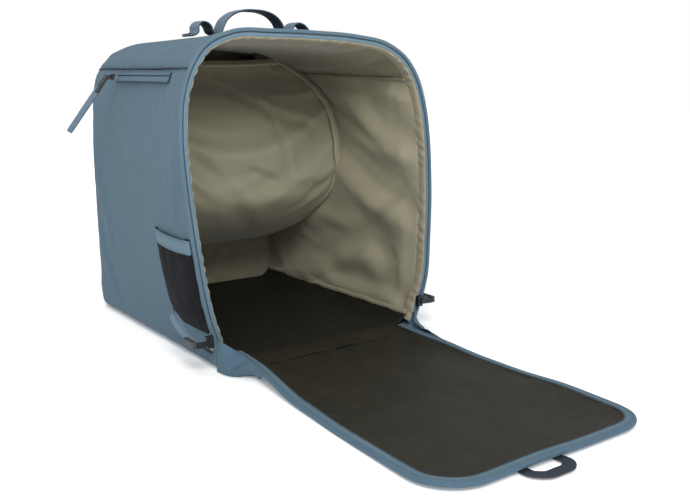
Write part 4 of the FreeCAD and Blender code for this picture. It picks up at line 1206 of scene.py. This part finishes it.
def webbing_loop(name, node_name, origin, along, across, body, droop):
    """Loop of narrow webbing beyond a pull: two legs side by side that join in a bend at the tip."""
    along = np.asarray(along, float)
    across = np.asarray(across, float)
    out = np.cross(along, across)
    reach = 58 * MM
    half = 5.0 * MM
    route = np.array([(-9, 1.2), (2, 1.8), (12, 3.2), (30, 4.4), (46, 4.8), (55, 3.6), (59, 0),
                      (55, -3.6), (46, -4.8), (30, -4.4), (12, -3.2), (2, -1.8), (-9, -1.2)])
    route = np.column_stack([route[:, 0] / 59 * reach, route[:, 1] / 4.8 * half])
    path = even(route, 90)
    share = np.clip(path[:, 0] / reach, 0, 1)
    spots = origin + along * path[:, :1] + out * path[:, 1:] + np.asarray(droop) * (share ** 2)[:, None]
    loop = sweep(name, spots, ribbon(7.6 * MM, 1.5 * MM), np.cross(across, np.gradient(spots, axis=0)))
    return finish_piece(loop, "webbing", body, (node_name,))


def build_pulls(settings):
    for side, label in ((-1, "left"), (1, "right")):
        bar_low, bar_high = low("main_pull_" + label), high("main_pull_" + label)
        tip = np.array([(bar_low[0] + bar_high[0]) / 2, bar_high[1], (bar_low[2] + bar_high[2]) / 2])
        start = tip + (-side * 6 * MM, -12 * MM, 0)
        rise = 22 * MM if side < 0 else 0.0
        webbing_loop("pull_loop_" + label, "main_loop_" + label, start, (0, 1, 0), (-side * 0.55, 0, 0.83),
                     label + "_puller",
                     (0, 0, rise))
    lean = Matrix.Rotation(math.radians(settings.pull_lean), 3, "Y")
    sway = Matrix.Rotation(math.radians(settings.pull_sway), 3, "X")
    turn = lean @ sway @ Matrix.Rotation(math.radians(90), 3, "Z")
    along = np.array(turn @ Vector((0, 0, -1)))
    pivot = np.array(JOINTS["side_pull_hinge"]["pos_m"], float)
    seen = np.array([-0.35, -0.93, 0.1])
    across = np.cross(along, seen)
    across /= np.linalg.norm(across)
    webbing_loop("pull_loop_side", "side_loop", pivot + along * 28 * MM, along, across, "side_puller",
                 (-3 * MM, 0, -4 * MM))
    for node_name in ("main_slider_left", "main_slider_right", "side_slider"):
        paint_node(node_name, "slider")
    for node_name in ("main_pull_left", "main_pull_right", "side_pull"):
        paint_node(node_name, "pull")


def paint_node(node_name, material):
    mesh = frame["nodes"][node_name].data
    mesh.materials.clear()
    mesh.materials.append(MATERIALS[material])


# ---------------------------------------------------------------- the carrying handle
def roof_z(x, y):
    line, _ = outline(y, TOP_SHARES, 0.0)
    return float(np.interp(x, line[:, 0], line[:, 1]))


def build_handle(settings):
    y = (low("handle_strap")[1] + high("handle_strap")[1]) / 2
    spots = []
    for x, rise in ((-96, 1.6), (-89, 1.8), (-84.5, 5), (-84, 11), (-79, 16.5), (-71, 16.5), (-64.5, 11),
                    (-62, 5), (-57, 1.9),
                    (-51.5, 2.2), (-48.5, 9), (-43, 19), (-32, 27.5), (-16, 32.5), (0, 33.5), (16, 32.5),
                    (31, 27.5),
                    (41, 19), (46, 9), (49, 2.2), (55, 1.9), (58.5, 8), (60, 15), (66, 21.5), (76, 22.5),
                    (85, 17), (89.5, 9),
                    (92, 2.4), (98, 1.5)):
        spots.append((x * MM, rise * MM + roof_z(x * MM, y) - 1.2 * MM))
    line = even(np.array(spots), 260)
    twist = 1.5 * MM * np.sin(np.linspace(0, 9, 260))
    path = np.column_stack([line[:, 0], np.full(260, y) + twist, line[:, 1]])
    tangent = np.gradient(path, axis=0)
    up = np.cross(tangent, (0.0, 1.0, 0.0))
    up[up[:, 2] == 0] = (0, 0, 1)
    outer = sweep("handle_webbing_outer", path, ribbon(26 * MM, 2.0 * MM, (0, 0.2 * MM)), up)
    finish_piece(outer, "webbing", nodes=("handle_strap",))
    inner = sweep("handle_webbing_inner", path, ribbon(24.6 * MM, 1.2 * MM, (0, -1.3 * MM)), up)
    finish_piece(inner, "webbing_dark", nodes=("handle_lining",))
    # Cross-stitched boxes at the four feet.
    spots = []
    for x in (-92.5, -57, 52.5, 95):
        for wide in (-9.5, 9.5):
            for step in np.arange(-4, 4.1, 2.6):
                spots.append((x + step, wide, 1, 0))
        for step in np.arange(-9, 9.1, 2.6):
            spots.append((x - 4.2, step, 0, 1))
            spots.append((x + 4.2, step, 0, 1))
            spots.append((x + step * 0.45, step, 0.45, 1))
            spots.append((x - step * 0.45, step, -0.45, 1))
    spots = np.array(spots)
    places = np.array([(s[0] * MM, y + s[1] * MM, roof_z(s[0] * MM, y) + 2.1 * MM) for s in spots])
    ways = np.column_stack([spots[:, 2], spots[:, 3], np.zeros(len(spots))])
    tacks = copies("handle_tack_stitches", (2.5 * MM, 0.6 * MM, 0.6 * MM), places, ways, (0, 0, 1.0))
    finish_piece(tacks, "webbing_dark", nodes=("handle_tacks",))


# ---------------------------------------------------------------- floor, light and camera
def lamp(name, spot, target, size, power, tint=(1, 1, 1)):
    bpy.ops.object.light_add(type="AREA", location=spot)
    item = bpy.context.object
    item.name = name
    item.data.shape = "RECTANGLE"
    item.data.size, item.data.size_y = size
    item.data.energy = power
    item.data.color = tint
    item.rotation_euler = (Vector(target) - Vector(spot)).to_track_quat("-Z", "Y").to_euler()
    return item


def build_stage(settings):
    clean_slate()
    bpy.ops.mesh.primitive_plane_add(size=14, location=(0, 0, -0.4 * MM))
    floor = bpy.context.object
    floor.name = "studio_floor"
    material, tree, shader = fresh("studio_paper")
    body = node(tree, "ShaderNodeTexCoord").outputs["Object"]
    grain = node(tree, "ShaderNodeTexNoise", [("Vector", body), ("Scale", 40.0), ("Detail", 3.0)])
    tone = mix_colour(tree, grain.outputs["Fac"], (0.93, 0.93, 0.93, 1), (0.96, 0.96, 0.96, 1))
    tree.links.new(tone, shader.inputs["Base Color"])
    shader.inputs["Roughness"].default_value = 0.9
    shader.inputs["Specular IOR Level"].default_value = 0.1
    # Painted light: the floor glows, weakly near the bag and fully from about 2 m out, so the backdrop reads
    # white while contact shadows stay.
    shader.inputs["Emission Color"].default_value = (1, 1, 1, 1)
    far = node(tree, "ShaderNodeVectorMath", [(0, body)], operation="LENGTH").outputs["Value"]
    lift = node(tree, "ShaderNodeMapRange", [(0, far), (1, 0.55), (2, 2.2), (3, 0.2), (4, 1.0)])
    tree.links.new(lift.outputs[0], shader.inputs["Emission Strength"])
    floor.data.materials.append(material)
    world = bpy.data.worlds.new("studio_world")
    world.use_nodes = True
    sky = world.node_tree
    seen = node(sky, "ShaderNodeLightPath").outputs["Is Camera Ray"]
    glow = node(sky, "ShaderNodeMapRange", [(0, seen), (3, settings.ambient), (4, 1.0)])
    sky.nodes["Background"].inputs["Color"].default_value = (1, 1, 1, 1)
    sky.links.new(glow.outputs[0], sky.nodes["Background"].inputs["Strength"])
    bpy.context.scene.world = world
    lamp("key_softbox", (-1.5, -1.8, 2.2), (0, -0.1, 0.2), (1.3, 1.3), settings.key_power)
    lamp("fill_softbox", (1.5, -2.0, 1.2), (0.1, -0.1, 0.15), (1.4, 1.4), settings.key_power * 0.3)
    lamp("front_softbox", (-0.75, -1.7, 1.5), (0.1, 0, 0.2), (0.7, 0.7), settings.key_power * 0.75)
    lamp("top_softbox", (-0.2, 0.5, 2.4), (0, 0, 0.2), (2.0, 1.4), settings.key_power * 0.9)
    bpy.ops.object.camera_add(location=(-0.5971, -1.0780, 0.3491),
                              rotation=(math.radians(90 - 11.57), 0, math.radians(-35.58)))
    camera = bpy.context.object
    camera.name = "studio_camera"
    camera.data.lens = 44.98
    camera.data.sensor_width = 36
    camera.data.clip_start = 0.01
    bpy.context.scene.camera = camera
    bpy.context.scene.view_settings.view_transform = "Standard"
    bpy.context.scene.view_settings.look = "None"


# ---------------------------------------------------------------- add-on
class BagSettings(PropertyGroup):
    shell_slack: FloatProperty(name="Shell slack", description="Extra cloth in the outer panels, percent",
                               default=0.25, subtype="PERCENTAGE")
    lining_slack: FloatProperty(name="Lining slack", description="Extra cloth in the lining, percent",
                                default=1.8, subtype="PERCENTAGE")
    divider_slack: FloatProperty(name="Divider slack", description="Extra cloth in the divider, percent",
                                 default=2.6, subtype="PERCENTAGE")
    mat_slack: FloatProperty(name="Mat slack", description="Extra cloth in the mat's tarpaulin, percent",
                             default=0.5, subtype="PERCENTAGE")
    pull_lean: FloatProperty(name="Pull lean", description="Side pull away from the wall, degrees",
                             default=35.0)
    pull_sway: FloatProperty(name="Pull sway", description="Side pull towards the back, degrees", default=8.0)
    key_power: FloatProperty(name="Key light", description="Power of the key softbox", default=26.0,
                             unit="POWER")
    ambient: FloatProperty(name="Ambient", description="Strength of the white surroundings", default=0.42)
    bag_count: IntProperty(name="Bags", description="How many bags are built", default=1, min=1, max=1)


def run_builder(operator, context, builder):
    builder(context.scene.boot_bag)
    return {"FINISHED"}


class BOOTBAG_OT_materials(Operator):
    """Make the fabric, zip and trim materials"""
    bl_idname = "bootbag.materials"
    bl_label = "Make materials"

    def execute(self, context):
        make_materials()
        return {"FINISHED"}


class BOOTBAG_OT_shell(Operator):
    """Sew the outer panels, the base and their seams"""
    bl_idname = "bootbag.shell"
    bl_label = "Sew shell"

    def execute(self, context):
        return run_builder(self, context, build_shell)


class BOOTBAG_OT_rim(Operator):
    """Sew the piping, zip tape and gathered facing round the opening"""
    bl_idname = "bootbag.rim"
    bl_label = "Sew rim"

    def execute(self, context):
        return run_builder(self, context, build_rim)


class BOOTBAG_OT_lining(Operator):
    """Hang the lining and lay the floor"""
    bl_idname = "bootbag.lining"
    bl_label = "Hang lining"

    def execute(self, context):
        return run_builder(self, context, build_lining)


class BOOTBAG_OT_divider(Operator):
    """Hang the divider with its hem and mesh insert"""
    bl_idname = "bootbag.divider"
    bl_label = "Hang divider"

    def execute(self, context):
        return run_builder(self, context, build_divider)


class BOOTBAG_OT_mat(Operator):
    """Make the front panel, which lies down as a mat"""
    bl_idname = "bootbag.mat"
    bl_label = "Make mat"

    def execute(self, context):
        return run_builder(self, context, build_mat)


class BOOTBAG_OT_hinge(Operator):
    """Sew the cloth that joins the mat to the base"""
    bl_idname = "bootbag.hinge"
    bl_label = "Sew hinge"

    def execute(self, context):
        return run_builder(self, context, build_hinge)


class BOOTBAG_OT_stash(Operator):
    """Sew the stash pocket"""
    bl_idname = "bootbag.stash"
    bl_label = "Sew stash pocket"

    def execute(self, context):
        return run_builder(self, context, build_stash)


class BOOTBAG_OT_side_zip(Operator):
    """Sew the side zip"""
    bl_idname = "bootbag.side_zip"
    bl_label = "Sew side zip"

    def execute(self, context):
        return run_builder(self, context, build_side_zip)


class BOOTBAG_OT_pulls(Operator):
    """Thread the webbing loops and finish the sliders and pulls"""
    bl_idname = "bootbag.pulls"
    bl_label = "Thread pulls"

    def execute(self, context):
        return run_builder(self, context, build_pulls)


class BOOTBAG_OT_handle(Operator):
    """Sew the carrying handle"""
    bl_idname = "bootbag.handle"
    bl_label = "Sew handle"

    def execute(self, context):
        return run_builder(self, context, build_handle)


class BOOTBAG_OT_stage(Operator):
    """Set up the floor, the lights and the camera"""
    bl_idname = "bootbag.stage"
    bl_label = "Set stage"

    def execute(self, context):
        return run_builder(self, context, build_stage)


STEPS = (BOOTBAG_OT_materials, BOOTBAG_OT_shell, BOOTBAG_OT_rim, BOOTBAG_OT_lining, BOOTBAG_OT_divider,
         BOOTBAG_OT_mat,
         BOOTBAG_OT_hinge, BOOTBAG_OT_stash, BOOTBAG_OT_side_zip, BOOTBAG_OT_pulls, BOOTBAG_OT_handle,
         BOOTBAG_OT_stage)


class BOOTBAG_PT_panel(Panel):
    bl_label = "Boot bag"
    bl_idname = "BOOTBAG_PT_panel"
    bl_space_type = "VIEW_3D"
    bl_region_type = "UI"
    bl_category = "Boot bag"

    def draw(self, context):
        for key in BagSettings.__annotations__:
            self.layout.prop(context.scene.boot_bag, key)
        for step in STEPS:
            self.layout.operator(step.bl_idname)


CLASSES = (BagSettings,) + STEPS + (BOOTBAG_PT_panel,)


def register():
    for item in CLASSES:
        bpy.utils.register_class(item)
    bpy.types.Scene.boot_bag = PointerProperty(type=BagSettings)


def unregister():
    del bpy.types.Scene.boot_bag
    for item in reversed(CLASSES):
        bpy.utils.unregister_class(item)


def main():
    register()
    for step in STEPS:
        name = step.bl_idname.split(".")[1]
        if getattr(bpy.ops.bootbag, name)() != {"FINISHED"}:
            raise RuntimeError("bootbag.%s did not finish" % name)


if __name__ == "__main__":
    main()
